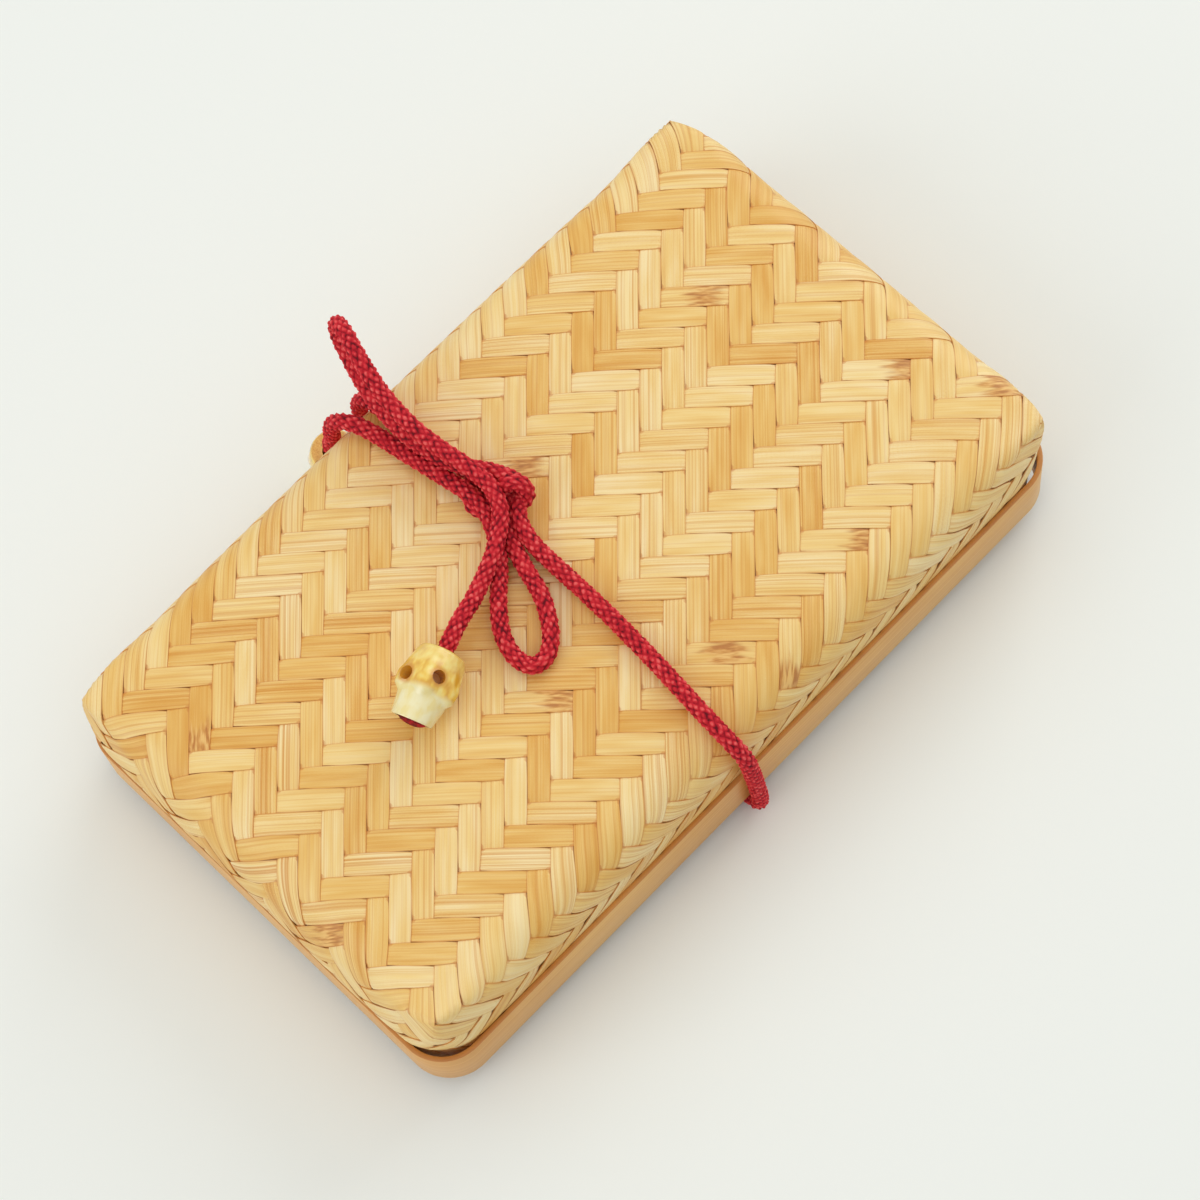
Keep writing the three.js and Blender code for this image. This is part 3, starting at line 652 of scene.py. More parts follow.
def sides_near(form, rising, line, along):
    """Over (1) or under (-1) at the four crossings round a place, and how far past the second."""
    before = np.floor(2 * along)
    levels = []
    for step in (-1, 0, 1, 2):
        on_top = rising_on_top(form, *sheet_place(rising, line, (before + step) / 2, 0))
        levels.append(np.where(on_top == rising, 1.0, -1.0))
    return levels, 2 * along - before


def float_height(levels, past):
    """A strip's height in the weave, from -1 under to 1 over, and how much it bows."""
    t = ease(np.clip((past - 0.5) / CROSSING_CHANGE + 0.5, 0, 1))
    bow = [
        np.where((levels[k - 1] == levels[k]) & (levels[k] == levels[k + 1]), levels[k], 0)
        for k in (1, 2)
    ]
    return levels[1] + (levels[2] - levels[1]) * t, bow[0] + (bow[1] - bow[0]) * past


def float_end(levels, past):
    """From 0 in the middle of a float to 1 at its end, where the slits beside it open."""
    gap = np.full(len(past), HALF_FLOAT)
    for k in range(3):
        gap = np.where(levels[k] != levels[k + 1], np.minimum(gap, abs(past + 0.5 - k)), gap)
    return (1 - gap / HALF_FLOAT) ** SLIT_END


def off_the_top(form, rising, line, along):
    """From 0 on the top to 1 on a wall, and from 0 to 1 as a strip nears a corner of the box."""
    u, v = sheet_place(rising, line, along, 0)
    past = np.stack([abs(u) - form.units[0], abs(v) - form.units[1]])
    on_wall = ease(np.clip((past.max(0) - WALL_START) / WALL_RUN, 0, 1))
    return on_wall, np.clip(HALF_FLOAT + past.min(0), 0, 1)


def strip_reach(form, rising, line):
    """Where along it a strip meets the rim at either end."""
    along = np.linspace(-LONGEST_REACH, LONGEST_REACH, REACH_STEPS)
    _, depth = fold_up(form, *sheet_place(rising, line, along, 0))
    inside = along[depth * unit_of(form) <= form.half[2]]
    return inside[0], inside[-1]


def trim_to_rim(form, rising, line, along, aside, ends):
    """Moves the square ends of the strips to where the rim cuts them off level."""
    for end, outward in zip(ends, (-1, 1)):
        _, depth = fold_up(form, *sheet_place(rising, line, end, aside))
        over = depth - form.half[2] / unit_of(form)
        along = along - outward * over * np.clip(1 - abs(along - end) / TRIM_RUN, 0, 1)
    return along


def flat_strips(form, reaches):
    """All strips of one direction laid out flat: x in lattice units, y across from -1 to 1."""
    bm = bmesh.new()
    line_layer = bm.verts.layers.int.new("line")
    for line, (start, stop) in zip(range(-form.lines, form.lines + 1), reaches):
        steps = max(FEWEST_STEPS, round((stop - start) * 2 * form.steps))
        grid = bmesh.ops.create_grid(bm, x_segments=steps, y_segments=form.across, size=1)
        grid = grid["verts"]
        bmesh.ops.scale(bm, vec=((stop - start) / 2, 1, 1), verts=grid)
        bmesh.ops.translate(bm, vec=((start + stop) / 2, 0, 0), verts=grid)
        for vert in grid:
            vert[line_layer] = line
    bmesh.ops.solidify(bm, geom=bm.faces[:], thickness=1)
    mark_sharp(bm, STRIP_FOLD)
    return bm


def take_lines(mesh):
    """Which strip each point belongs to, taken off the mesh."""
    line = np.empty(len(mesh.vertices), dtype=np.int32)
    mesh.attributes["line"].data.foreach_get("value", line)
    mesh.attributes.remove(mesh.attributes["line"])
    return line


def strip_edges(form, rising, line, along, phase, end):
    """A strip's width as a share of its full width, and how far it sways aside."""
    on_wall, near_corner = off_the_top(form, rising, line, along)
    slit = SLIT_ON_TOP + (SLIT_ON_WALL - SLIT_ON_TOP) * on_wall
    slit *= 1 + SLIT_CHANGE * np.sin(SLIT_WAVE * along + SLIT_PHASE * phase)
    sway = np.sin(SWAY_WAVE * along + phase) * (1 - near_corner)
    sway *= SWAY_ON_TOP + (SWAY_ON_WALL - SWAY_ON_TOP) * on_wall
    return 1 - WALL_SLACK * on_wall - CORNER_TRIM * near_corner - slit * end, sway


def outward_at(form, middle, ahead, aside):
    """Directions square to the weave, away from the inside of the box."""
    outward = np.cross(ahead, aside)
    outward /= np.linalg.norm(outward, axis=1)[:, None]
    centre = np.array((0, 0, form.rim_z + form.facing * form.half[2] / 3))
    return outward * np.sign(np.einsum("ij,ij->i", outward, middle - centre))[:, None]


def weave_family(form, rising, draw):
    """The strips of one direction, woven through those of the other and folded up into the box."""
    name = f"{form.name}_strips_{'rising' if rising else 'falling'}"
    every_line = range(-form.lines, form.lines + 1)
    reaches = np.array([strip_reach(form, rising, line) for line in every_line])
    mesh = to_mesh(name, flat_strips(form, reaches))
    flat = read_points(mesh)
    along, across = flat[:, 0], flat[:, 1]
    upper = abs(flat[:, 2]) < 0.5
    line = take_lines(mesh)
    count = 2 * form.lines + 1
    strip = line + form.lines
    tone, phase = draw.permutation(count) + 0.5, draw.uniform(0, 2 * math.pi, count)
    diagonal = unit_of(form) * math.sqrt(2)
    levels, past = sides_near(form, rising, line, along)
    end = float_end(levels, past)
    width, sway = strip_edges(form, rising, line, along, phase[strip], end)

    def place(length, width_way):
        aside = (width_way * width * STRIP_WIDTH / 2 + sway) / diagonal
        length = trim_to_rim(form, rising, line, length, aside, reaches[strip].T)
        return fold_up(form, *sheet_place(rising, line, length, aside))[0]

    middle = place(along, across)
    ahead = place(along + SLOPE_STEP_ALONG, across) - place(along - SLOPE_STEP_ALONG, across)
    right = place(along, np.minimum(across + SLOPE_STEP_ACROSS, 1))
    left = place(along, np.maximum(across - SLOPE_STEP_ACROSS, -1))
    outward = outward_at(form, middle, ahead, right - left)
    level, bow = float_height(levels, past)
    height = FLOAT_HEIGHT * level + FLOAT_BOW * bow
    edge = STRIP_EDGE_DROP * across**STRIP_EDGE_FULLNESS
    skin = np.where(upper, STRIP_THICKNESS / 2 - edge, -STRIP_THICKNESS / 2 + edge)
    points = middle + outward * (height + skin)[:, None]
    points[:, 2] = np.maximum(points[:, 2], 0)
    write_points(mesh, points)
    length = along * diagonal
    grain = np.stack([length, across * width * STRIP_WIDTH / 2, tone[strip]], axis=1)
    write_attribute(mesh, "grain", grain)
    # The rim value marks brown joints at a strip's edges, and painted shade where the strip passes under a crossing
    # one.
    write_attribute(mesh, "rim", np.maximum(abs(across), UNDER_SHADE_START - UNDER_SHADE_BY_LEVEL * level))
    first_node = draw.uniform(0, NODE_SPACING, count)
    for placed_line, placed in form.nodes.get(rising, ()):
        first_node[placed_line + form.lines] = placed * diagonal
    from_node = (length - first_node[strip] + NODE_SPACING / 2) % NODE_SPACING - NODE_SPACING / 2
    write_attribute(mesh, "from_node", from_node)
    return mesh


def outside_faces(mesh):
    """Turns the faces of closed pieces outwards."""
    bm = bmesh.new()
    bm.from_mesh(mesh)
    bmesh.ops.recalc_face_normals(bm, faces=bm.faces)
    bm.to_mesh(mesh)
    bm.free()
    return mesh


def woven_shell(form):
    """A shell's rising and falling strips, of which the rising ones replace its solid."""
    pieces = []
    for rising in (True, False):
        draw = np.random.default_rng(form.draws[rising])
        mesh = outside_faces(weave_family(form, rising, draw))
        nodes = [f"{form.name}_shell"] if rising else []
        piece = add_piece(mesh, "woven_bamboo", *nodes)
        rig.ride(piece, form.name)
        pieces.append(piece)
    return pieces


strips = woven_shell(LID_FORM) + woven_shell(TRAY_FORM)


# Hoops: bent bamboo, outside and inside each rim
HOOP_EDGE = 0.25 * MM
HOOP_STEP = 6 * MM
HOOP_BEND_STEPS = 16
HOOP_FOLD = math.radians(40)
HOOP_FACE, CUT_EDGE = 0, 1
HOOPS = {
    "lid_hoop_outer": (1.3 * MM, 10.8 * MM), "lid_hoop_inner": (1.0 * MM, 13 * MM),
    "tray_hoop_outer": (1.3 * MM, 12 * MM), "tray_hoop_inner": (1.0 * MM, 13 * MM),
}


def bent_hoop(node, thickness, corner):
    """A flat strip with eased edges, bent round a rim from the middle of the box's +X end."""
    low, high = (Vector(point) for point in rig.box(node))
    length, width, height = high - low
    bm = bmesh.new()
    section = bmesh.ops.create_grid(bm, x_segments=1, y_segments=1, size=0.5)["verts"]
    bmesh.ops.scale(bm, vec=(thickness, height, 1), verts=section)
    bmesh.ops.bevel(
        bm, geom=section, offset=HOOP_EDGE, segments=2, profile=0.5, affect="VERTICES",
        material=-1,
    )
    upright = Matrix.Rotation(math.pi / 2, 3, "X")
    bmesh.ops.rotate(bm, cent=(0, 0, 0), matrix=upright, verts=bm.verts)
    bmesh.ops.translate(
        bm, vec=(length / 2 - thickness / 2, 0, (low.z + high.z) / 2), verts=bm.verts
    )
    bmesh.ops.delete(bm, geom=bm.faces[:], context="FACES_ONLY")
    tip = bm.edges[:] + bm.verts[:]
    across, along = width - 2 * corner, length - 2 * corner
    runs = (
        ((0, 1), across / 2, (1, 1)), ((-1, 0), along, (-1, 1)), ((0, -1), across, (-1, -1)),
        ((1, 0), along, (1, -1)), ((0, 1), across / 2, None),
    )
    for (x, y), reach, bend in runs:
        steps = max(2, round(reach / HOOP_STEP))
        tip = bmesh.ops.spin(
            bm, geom=tip, cent=(0, 0, 0), axis=(0, 0, 1), angle=0, steps=steps,
            dvec=(x * reach / steps, y * reach / steps, 0),
        )["geom_last"]
        if bend:
            centre = (bend[0] * (length / 2 - corner), bend[1] * (width / 2 - corner), 0)
            tip = bmesh.ops.spin(
                bm, geom=tip, cent=centre, axis=(0, 0, 1), angle=math.pi / 2,
                steps=HOOP_BEND_STEPS,
            )["geom_last"]
    bmesh.ops.remove_doubles(bm, verts=bm.verts, dist=TINY)
    bmesh.ops.recalc_face_normals(bm, faces=bm.faces)
    for face in bm.faces:
        face.material_index = CUT_EDGE if abs(face.normal.z) > 0.5 else HOOP_FACE
    mark_sharp(bm, HOOP_FOLD)
    piece = add_piece(to_mesh(f"{node}_bent", bm), "bamboo_hoop", node)
    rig.ride(piece, node.split("_")[0])
    return piece


hoops = [bent_hoop(node, *size) for node, size in HOOPS.items()]


# Beads: a piece of bamboo root, slim at its cut end and lobed where the node was
BEAD_RADIUS = 6.3 * MM
BEAD_BORE = 2.6 * MM
BEAD_POCKET = 4.0 * MM
BEAD_OUTLINE = np.array((
    (0, 4.6), (0.25, 4.8), (3, 5.25), (5.6, 5.7), (7.2, 6.0), (9.2, 6.2), (12, 6.2), (14.4, 5.95),
    (15.7, 5.6), (16.3, 5.2), (16.5, 4.8),
)) * MM
BEAD_SAMPLES = np.arange(0, 16.6, 0.4) * MM
BORE_END = 16.3 * MM
BEAD_STEPS_ROUND = 96
BEAD_FOLD = math.radians(35)
BEAD_SKIRT = np.array(((5.4, 0), (6.7, 1), (9.4, 0.95), (11.5, 0.45), (14.5, 0))) * (MM, 1)
SKIRT_LOBES = 5
LOBE_TURN = math.radians(80)
LOBE_HEIGHT = 0.50 * MM
SKIRT_HEIGHT = 0.30 * MM
SKIRT_WAVE = 0.7 * MM
SKIRT_REACH_DOWN = 0.5
SKIRT_RUN = 0.65
SLANT_RUN = 6 * MM
FRONT_BEAD_SLANT = 1.3 * MM
SIDE_HOLES = ((0.59, 26), (0.50, -42))
SIDE_HOLE_RADIUS = 1.55 * MM
SIDE_HOLE_REACH = 1.25 * SIDE_HOLE_RADIUS
SIDE_HOLE_FLARE = 0.15
SIDE_HOLE_EDGES = 32
SIDE_HOLE_LIFT = 0.2 * MM
SKIN_ABOVE = BEAD_POCKET + 0.1 * MM
BEAD_SKIN, BEAD_INSIDE = 0, 1
CROSSWAYS = 0.9
FACING_IN = -0.3
SIDE_HOLE_WALL = 0.45


def turned(bm, profile):
    """A shape turned about +X from (distance along, radius) pairs that close on themselves."""
    ring = [bm.verts.new((along, 0, radius)) for along, radius in profile]
    edges = [bm.edges.new(pair) for pair in zip(ring, ring[1:] + ring[:1])]
    bmesh.ops.spin(
        bm, geom=ring + edges, cent=(0, 0, 0), axis=(1, 0, 0), angle=2 * math.pi,
        steps=BEAD_STEPS_ROUND, use_merge=True,
    )
    bmesh.ops.recalc_face_normals(bm, faces=bm.faces)


def bead_profile():
    skin = np.unique(np.concatenate([BEAD_SAMPLES, BEAD_OUTLINE[:, 0]]))
    outside = list(zip(skin, np.interp(skin, *BEAD_OUTLINE.T)))
    return outside + [
        (BORE_END, BEAD_BORE), (END_KNOT_DEPTH, BEAD_BORE), (END_KNOT_DEPTH, BEAD_POCKET),
        (0, BEAD_POCKET),
    ]


def grow_skirt(bm, slant):
    """Swells the lobed skirt on the sides away from the lid, and cuts the end at a slant."""
    for vert in bm.verts:
        along, y, z = vert.co
        radius = math.hypot(y, z)
        if radius > SKIN_ABOVE:
            lobe = math.cos(SKIRT_LOBES * (math.atan2(-y, z) - LOBE_TURN))
            swell = np.interp(along + SKIRT_WAVE * lobe, *BEAD_SKIRT.T)
            away = min(max((z / radius + SKIRT_REACH_DOWN) / SKIRT_RUN, 0), 1)
            grown = 1 + away * swell * (SKIRT_HEIGHT + LOBE_HEIGHT * (1 + lobe)) / radius
            vert.co.y *= grown
            vert.co.z *= grown
        vert.co.x -= slant * z / BEAD_RADIUS * max(0, 1 - along / SLANT_RUN)


def side_holes():
    """Each side hole's middle on the bead's axis, its direction and how it is turned."""
    for reach, angle in SIDE_HOLES:
        turn = Matrix.Rotation(math.radians(angle), 3, "X")
        yield Vector((reach * BEAD_LENGTH, 0, 0)), turn @ Vector((0, 0, 1)), turn


def hole_cutter(centre, turn):
    """A cone that flares outwards through the bead's wall."""
    hole = bmesh.new()
    bmesh.ops.create_cone(
        hole, cap_ends=True, segments=SIDE_HOLE_EDGES, depth=2 * (BEAD_RADIUS - BEAD_BORE),
        radius1=(1 - SIDE_HOLE_FLARE) * SIDE_HOLE_RADIUS,
        radius2=(1 + SIDE_HOLE_FLARE) * SIDE_HOLE_RADIUS,
    )
    bmesh.ops.translate(hole, vec=(0, 0, BEAD_RADIUS + SIDE_HOLE_LIFT), verts=hole.verts)
    bmesh.ops.rotate(hole, cent=(0, 0, 0), verts=hole.verts, matrix=turn)
    bmesh.ops.translate(hole, vec=centre, verts=hole.verts)
    return link("hole", to_mesh("hole", hole))


def cut_side_holes(piece):
    """Cuts the side holes for good."""
    cutters = [hole_cutter(centre, turn) for centre, _, turn in side_holes()]
    for cutter in cutters:
        cut = piece.modifiers.new("hole", "BOOLEAN")
        cut.object = cutter
        cut.solver = "EXACT"
    seen = piece.evaluated_get(bpy.context.evaluated_depsgraph_get())
    mesh = bpy.data.meshes.new_from_object(seen)
    piece.modifiers.clear()
    piece.data = mesh
    for cutter in cutters:
        bpy.data.objects.remove(cutter)


def inside_bead(face):
    """Whether a face is in the bore, the pocket or a side hole."""
    place, normal = face.calc_center_median(), face.normal
    out = Vector((0, place.y, place.z))
    if abs(normal.x) < CROSSWAYS and out.normalized().dot(normal) < FACING_IN:
        return True
    for centre, direction, _ in side_holes():
        near = (place - centre).cross(direction).length < SIDE_HOLE_REACH
        if near and place.z > 0 and abs(normal.dot(direction)) < SIDE_HOLE_WALL:
            return True
    return False


def keep_place(bm):
    """Keeps each point's place on the bead, before the bead is moved."""
    layer = bm.verts.layers.float_vector.new("place")
    for vert in bm.verts:
        vert[layer] = vert.co


def put_in_place(bm, place, ahead, axis):
    """Turns what points ahead to point along the axis, and moves it from the origin."""
    turn = Vector(ahead).rotation_difference(axis).to_matrix().to_4x4()
    bmesh.ops.transform(bm, matrix=Matrix.Translation(place) @ turn, verts=bm.verts)


def root_bead(node, rim, axis, slant):
    """A bead with its holes cut, put in its place with its object left at the origin."""
    bm = bmesh.new()
    turned(bm, bead_profile())
    grow_skirt(bm, slant)
    piece = add_piece(to_mesh(f"{node}_root", bm), "bamboo_bead", node)
    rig.ride(piece, node)
    cut_side_holes(piece)
    bm = bmesh.new()
    bm.from_mesh(piece.data)
    keep_place(bm)
    bm.normal_update()
    for face in bm.faces:
        # Faces in the bore, the pocket and the side holes take the dark painted shade.
        face.material_index = BEAD_INSIDE if inside_bead(face) else BEAD_SKIN
    mark_sharp(bm, BEAD_FOLD)
    put_in_place(bm, rim, (1, 0, 0), axis)
    bm.to_mesh(piece.data)
    bm.free()
    piece.data.shade_smooth()
    return piece


front_bead = root_bead("bead_front", FRONT_BEAD_RIM, FRONT_BEAD_AXIS, FRONT_BEAD_SLANT)
back_bead = root_bead("bead_back", BACK_BEAD_RIM, BACK_BEAD_AXIS, 0)


# The cord's ends, knotted flat in the beads' pockets
CORD_END_RADIUS = 3.5 * MM
CORD_END_HALF_THICKNESS = 1.45 * MM
FRONT_END_DEPTH = 0.6 * MM
BACK_END_DEPTH = 1.5 * MM


def cord_end(name, rim, axis, depth):
    bm = bmesh.new()
    bmesh.ops.create_uvsphere(bm, u_segments=40, v_segments=20, radius=1)
    size = (CORD_END_RADIUS, CORD_END_RADIUS, CORD_END_HALF_THICKNESS)
    bmesh.ops.scale(bm, vec=size, verts=bm.verts)
    put_in_place(bm, rim + axis * depth, (0, 0, 1), axis)
    piece = add_piece(to_mesh(name, bm), "braided_cord")
    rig.ride(piece, "lid")
    return piece


front_end = cord_end("cord_end_front", FRONT_BEAD_RIM, FRONT_BEAD_AXIS, FRONT_END_DEPTH)
back_end = cord_end("cord_end_back", BACK_BEAD_RIM, BACK_BEAD_AXIS, BACK_END_DEPTH)


# Finishes
def srgb(*levels):
    """A colour given in 8-bit sRGB, made linear."""
    return tuple(
        c / 255 / 12.92 if c <= 10 else ((c / 255 + 0.055) / 1.055) ** 2.4 for c in levels
    ) + (1,)


def ramp(*stops):
    """A run of colours, from rows of place, red, green and blue."""
    return [(place, srgb(*colour)) for place, *colour in stops]


STRIP_TONES = ramp(
    (0.18, 226, 166, 70), (0.38, 238, 191, 102), (0.60, 247, 213, 136), (0.85, 253, 230, 172)
)
STREAK_BROWN = srgb(212, 138, 44)
NODE_TONES = ramp((0.38, 184, 112, 44), (0.50, 214, 150, 72), (0.64, 240, 192, 114))
# Brown of the strips' edge joints, also used as painted shade where a strip passes under another.
JOINT_AND_SHADE_BROWN = srgb(200, 116, 40)
HOOP_FACE_TONES = ramp((0.35, 219, 155, 74), (0.65, 240, 189, 109))
CUT_EDGE_TONES = ramp((0.35, 182, 112, 48), (0.65, 212, 148, 74))
SKIRT_TONES = ramp((0.38, 226, 166, 46), (0.52, 246, 204, 84), (0.66, 253, 230, 134))
BARREL_TONES = ramp((0.38, 245, 227, 154), (0.60, 250, 240, 190))
PALE_END = srgb(250, 226, 140)
HOLE_RING = srgb(214, 142, 36)
CORD_DISC_TONES = ramp((0.3, 212, 148, 54), (0.7, 234, 186, 88))
SCAR_BROWN = srgb(96, 58, 30)
# Painted shade: the bore, the pocket and the side holes are coloured dark.
BEAD_INSIDE_SHADE_TONES = ramp((0.35, 84, 62, 44), (0.65, 132, 108, 82))
# From painted shade between the strands to a painted pinkish highlight on their crests.
CRIMSON_SHADE_TO_HIGHLIGHT_TONES = ramp(
    (0.06, 102, 4, 20), (0.28, 180, 18, 36), (0.56, 218, 44, 54), (0.92, 246, 106, 102)
)
PALE_TABLE = srgb(243, 246, 240)

# Noise in a strip: its scale along the strip, its scale across it, and its detail
PATCHES = (20, 0, 1)
COARSE_FIBRE = (70, 480, 1)
FINE_FIBRE = (30, 3600, 2)
STREAKS = (5, 1900, 2)
THIN_STREAKS = (8, 4200, 1)
NODE_SPECKLE = (260, 1500, 2)
NODE_RAGS = (60, 900, 2)
RIBS = (12, 2200, 2)
STRIP_SEED = 3.17
SECOND_CHANCE = 0.37

# Noise elsewhere: how much a place is stretched along each axis
HOOP_FIBRE = (12, 12, 1800)
HOOP_BLOTCHES = (28, 28, 60)
BEAD_PATCHES = (260, 420, 420)
BEAD_SCARS = (420, 260, 260)
CORD_DISC_GRAIN = (500, 2400, 2400)
BEAD_INSIDE_GRAIN = (900, 900, 900)
CORD_THREADS = (3600, 3600, 3600)
CORD_FADING = (700, 700, 700)

# How much each part counts in a tone or an amount
LEAST_TONE, OWN_TONE, PATCH_TONE, COARSE_TONE, FINE_TONE = -0.305, 0.46, 0.24, 0.56, 0.35
LEAST_STREAK, OWN_STREAK = 0.15, 0.65
FIBRE_TONE, BLOTCH_TONE = 0.6, 0.4
# The strand's height counts for painted shade between strands and a painted highlight on their crests.
LEAST_RED, STRAND_SHADE_AND_HIGHLIGHT, THREAD_RED, FADED_RED = -0.58, 0.70, 0.30, 1.20
NODE_RAGGEDNESS = -12 * MM
BEAD_UNEVENNESS = 2.4 * MM
PALE_SHARE = 0.45
BACK_BEAD_SCARRED = 0.85

# Where one tone passes into another, and the amounts at either side if they aren't 0 and 1
STREAK_EDGE = (0.46, 0.70)
THIN_STREAK_EDGE = (0.50, 0.72, 0, 0.6)
NODE_EDGE = (-4.2 * MM, -0.8 * MM, 0.9, 0)
JOINT_AND_SHADE_EDGE = (0.98, 1, 0, 0.62)
BARREL_EDGE = (6.8 * MM, 8.4 * MM)
PALE_EDGE = (12.4 * MM, 14.4 * MM)
RING_EDGE = (1.5 * MM, 2.7 * MM, 0.85, 0)
UPPER_SIDE = (0, 1 * MM)
DISC_EDGE = (16.25 * MM, 16.4 * MM)
SCAR_EDGE = (0.52, 0.60)
SCARRED_END = (13.6 * MM, 15.4 * MM)


class Nodes:
    """A node tree, built up node by node."""

    def __init__(self, tree):
        self.tree = tree

    def node(self, kind, **settings):
        node = self.tree.nodes.new("ShaderNode" + kind)
        for name, value in settings.items():
            setattr(node, name, value)
        return node

    def put(self, socket, value):
        if isinstance(value, bpy.types.NodeSocket):
            self.tree.links.new(value, socket)
        else:
            socket.default_value = value

    def fill(self, node, values, output=0):
        """A node's output, with the values put in its sockets in turn."""
        for socket, value in zip(node.inputs, values):
            self.put(socket, value)
        return node.outputs[output]

    def fill_named(self, node, **values):
        """A node's outputs, with the values put in the sockets that they name."""
        for name, value in values.items():
            self.put(node.inputs[name], value)
        return node.outputs

    def attribute(self, name, output="Vector"):
        return self.node("Attribute", attribute_name=name).outputs[output]

    def object_place(self):
        return self.node("TexCoord").outputs["Object"]

    def math(self, operation, *values):
        return self.fill(self.node("Math", operation=operation), values)

    def vector_math(self, operation, *values, output=0):
        return self.fill(self.node("VectorMath", operation=operation), values, output)

    def weigh(self, total, *parts):
        """A total to which values are added, each times its weight."""
        for value, weight in parts:
            total = self.math("MULTIPLY_ADD", value, weight, total)
        return total

    def split(self, vector):
        return self.fill_named(self.node("SeparateXYZ"), Vector=vector)

    def noise(self, place, stretch, detail=2, roughness=0.5):
        """Noise at a place that is first stretched by a factor along each axis."""
        place = self.vector_math("MULTIPLY", place, stretch)
        return self.fill_named(
            self.node("TexNoise"), Vector=place, Scale=1, Detail=detail, Roughness=roughness
        )["Fac"]

    def chance(self, value):
        return self.fill_named(self.node("TexWhiteNoise", noise_dimensions="1D"), W=value)["Value"]

    def between(self, value, low, high, to_low=0, to_high=1):
        """A smooth step from to_low to to_high, as the value goes from low to high."""
        node = self.node("MapRange", interpolation_type="SMOOTHSTEP")
        return self.fill(node, (value, low, high, to_low, to_high))

    def tones(self, value, stops):
        node = self.node("ValToRGB")
        elements = node.color_ramp.elements
        while len(elements) < len(stops):
            elements.new(0.5)
        for element, (place, colour) in zip(elements, stops):
            element.position = place
            element.color = colour
        return self.fill_named(node, Fac=value)["Color"]

    def mix(self, amount, first, second):
        node = self.node("Mix", data_type="RGBA")
        colours = [s for s in node.inputs if s.type == "RGBA"]
        self.put(node.inputs[0], amount)
        self.put(colours[0], first)
        self.put(colours[1], second)
        return next(s for s in node.outputs if s.type == "RGBA")

    def gap_to_line(self, place, start, direction):
        """Distance from a place to the line that runs from a start in a direction."""
        gap = self.vector_math("SUBTRACT", place, start)
        gap = self.vector_math("CROSS_PRODUCT", gap, direction)
        return self.vector_math("LENGTH", gap, output="Value")


class Finish(Nodes):
    """A material with one skin."""

    def __init__(self, name, roughness):
        self.material = bpy.data.materials.new(name)
        self.material.use_nodes = True
        super().__init__(self.material.node_tree)
        self.skin = self.tree.nodes["Principled BSDF"]
        self.set_skin("Roughness", roughness)

    def set_skin(self, name, value):
        self.put(self.skin.inputs[name], value)

    def colour(self, value):
        self.set_skin("Base Color", value)

    def bump(self, height, strength, distance):
        bump = self.node("Bump")
        self.fill_named(bump, Height=height, Strength=strength, Distance=distance)
        self.set_skin("Normal", bump.outputs["Normal"])

    def on(self, *pieces):
        for piece in pieces:
            piece.data.materials.append(self.material)


def strip_bamboo():
    """Split bamboo: each strip its own tone, with fibre along it, a brown node now and then, brown joints at its edges
    and painted shade where it passes under another strip.
    """
    finish = Finish("split_bamboo_strip", roughness=0.45)
    grain = finish.attribute("grain")
    strip = finish.split(grain)["Z"]

    def fibre(scale_along, scale_across, detail):
        return finish.noise(grain, (scale_along, scale_across, STRIP_SEED), detail)

    tone = finish.weigh(
        LEAST_TONE, (finish.chance(strip), OWN_TONE), (fibre(*PATCHES), PATCH_TONE),
        (fibre(*COARSE_FIBRE), COARSE_TONE), (fibre(*FINE_FIBRE), FINE_TONE),
    )
    own_streaks = finish.chance(finish.math("ADD", strip, SECOND_CHANCE))
    strength = finish.weigh(LEAST_STREAK, (own_streaks, OWN_STREAK))
    line = finish.between(fibre(*STREAKS), *STREAK_EDGE)
    thin_line = finish.between(fibre(*THIN_STREAKS), *THIN_STREAK_EDGE)
    streak = finish.math("MULTIPLY", finish.math("MAXIMUM", line, thin_line), strength)
    colour = finish.mix(streak, finish.tones(tone, STRIP_TONES), STREAK_BROWN)
    from_node = finish.math("ABSOLUTE", finish.attribute("from_node", "Fac"))
    ragged = finish.weigh(from_node, (fibre(*NODE_RAGS), NODE_RAGGEDNESS))
    node = finish.between(ragged, *NODE_EDGE)
    colour = finish.mix(node, colour, finish.tones(fibre(*NODE_SPECKLE), NODE_TONES))
    # Brown joints at the strip's edges, and painted shade where it passes under a crossing strip.
    rim = finish.between(finish.attribute("rim", "Fac"), *JOINT_AND_SHADE_EDGE)
    finish.colour(finish.mix(rim, colour, JOINT_AND_SHADE_BROWN))
    finish.bump(fibre(*RIBS), strength=0.35, distance=0.1 * MM)
    return finish


def hoop_bamboo(name, tones):
    finish = Finish(name, roughness=0.4)
    place = finish.object_place()
    fibre = finish.noise(place, HOOP_FIBRE, detail=3, roughness=0.55)
    tone = finish.weigh(0, (fibre, FIBRE_TONE), (finish.noise(place, HOOP_BLOTCHES), BLOTCH_TONE))
    finish.colour(finish.tones(tone, tones))
    finish.bump(fibre, strength=0.25, distance=0.1 * MM)
    return finish


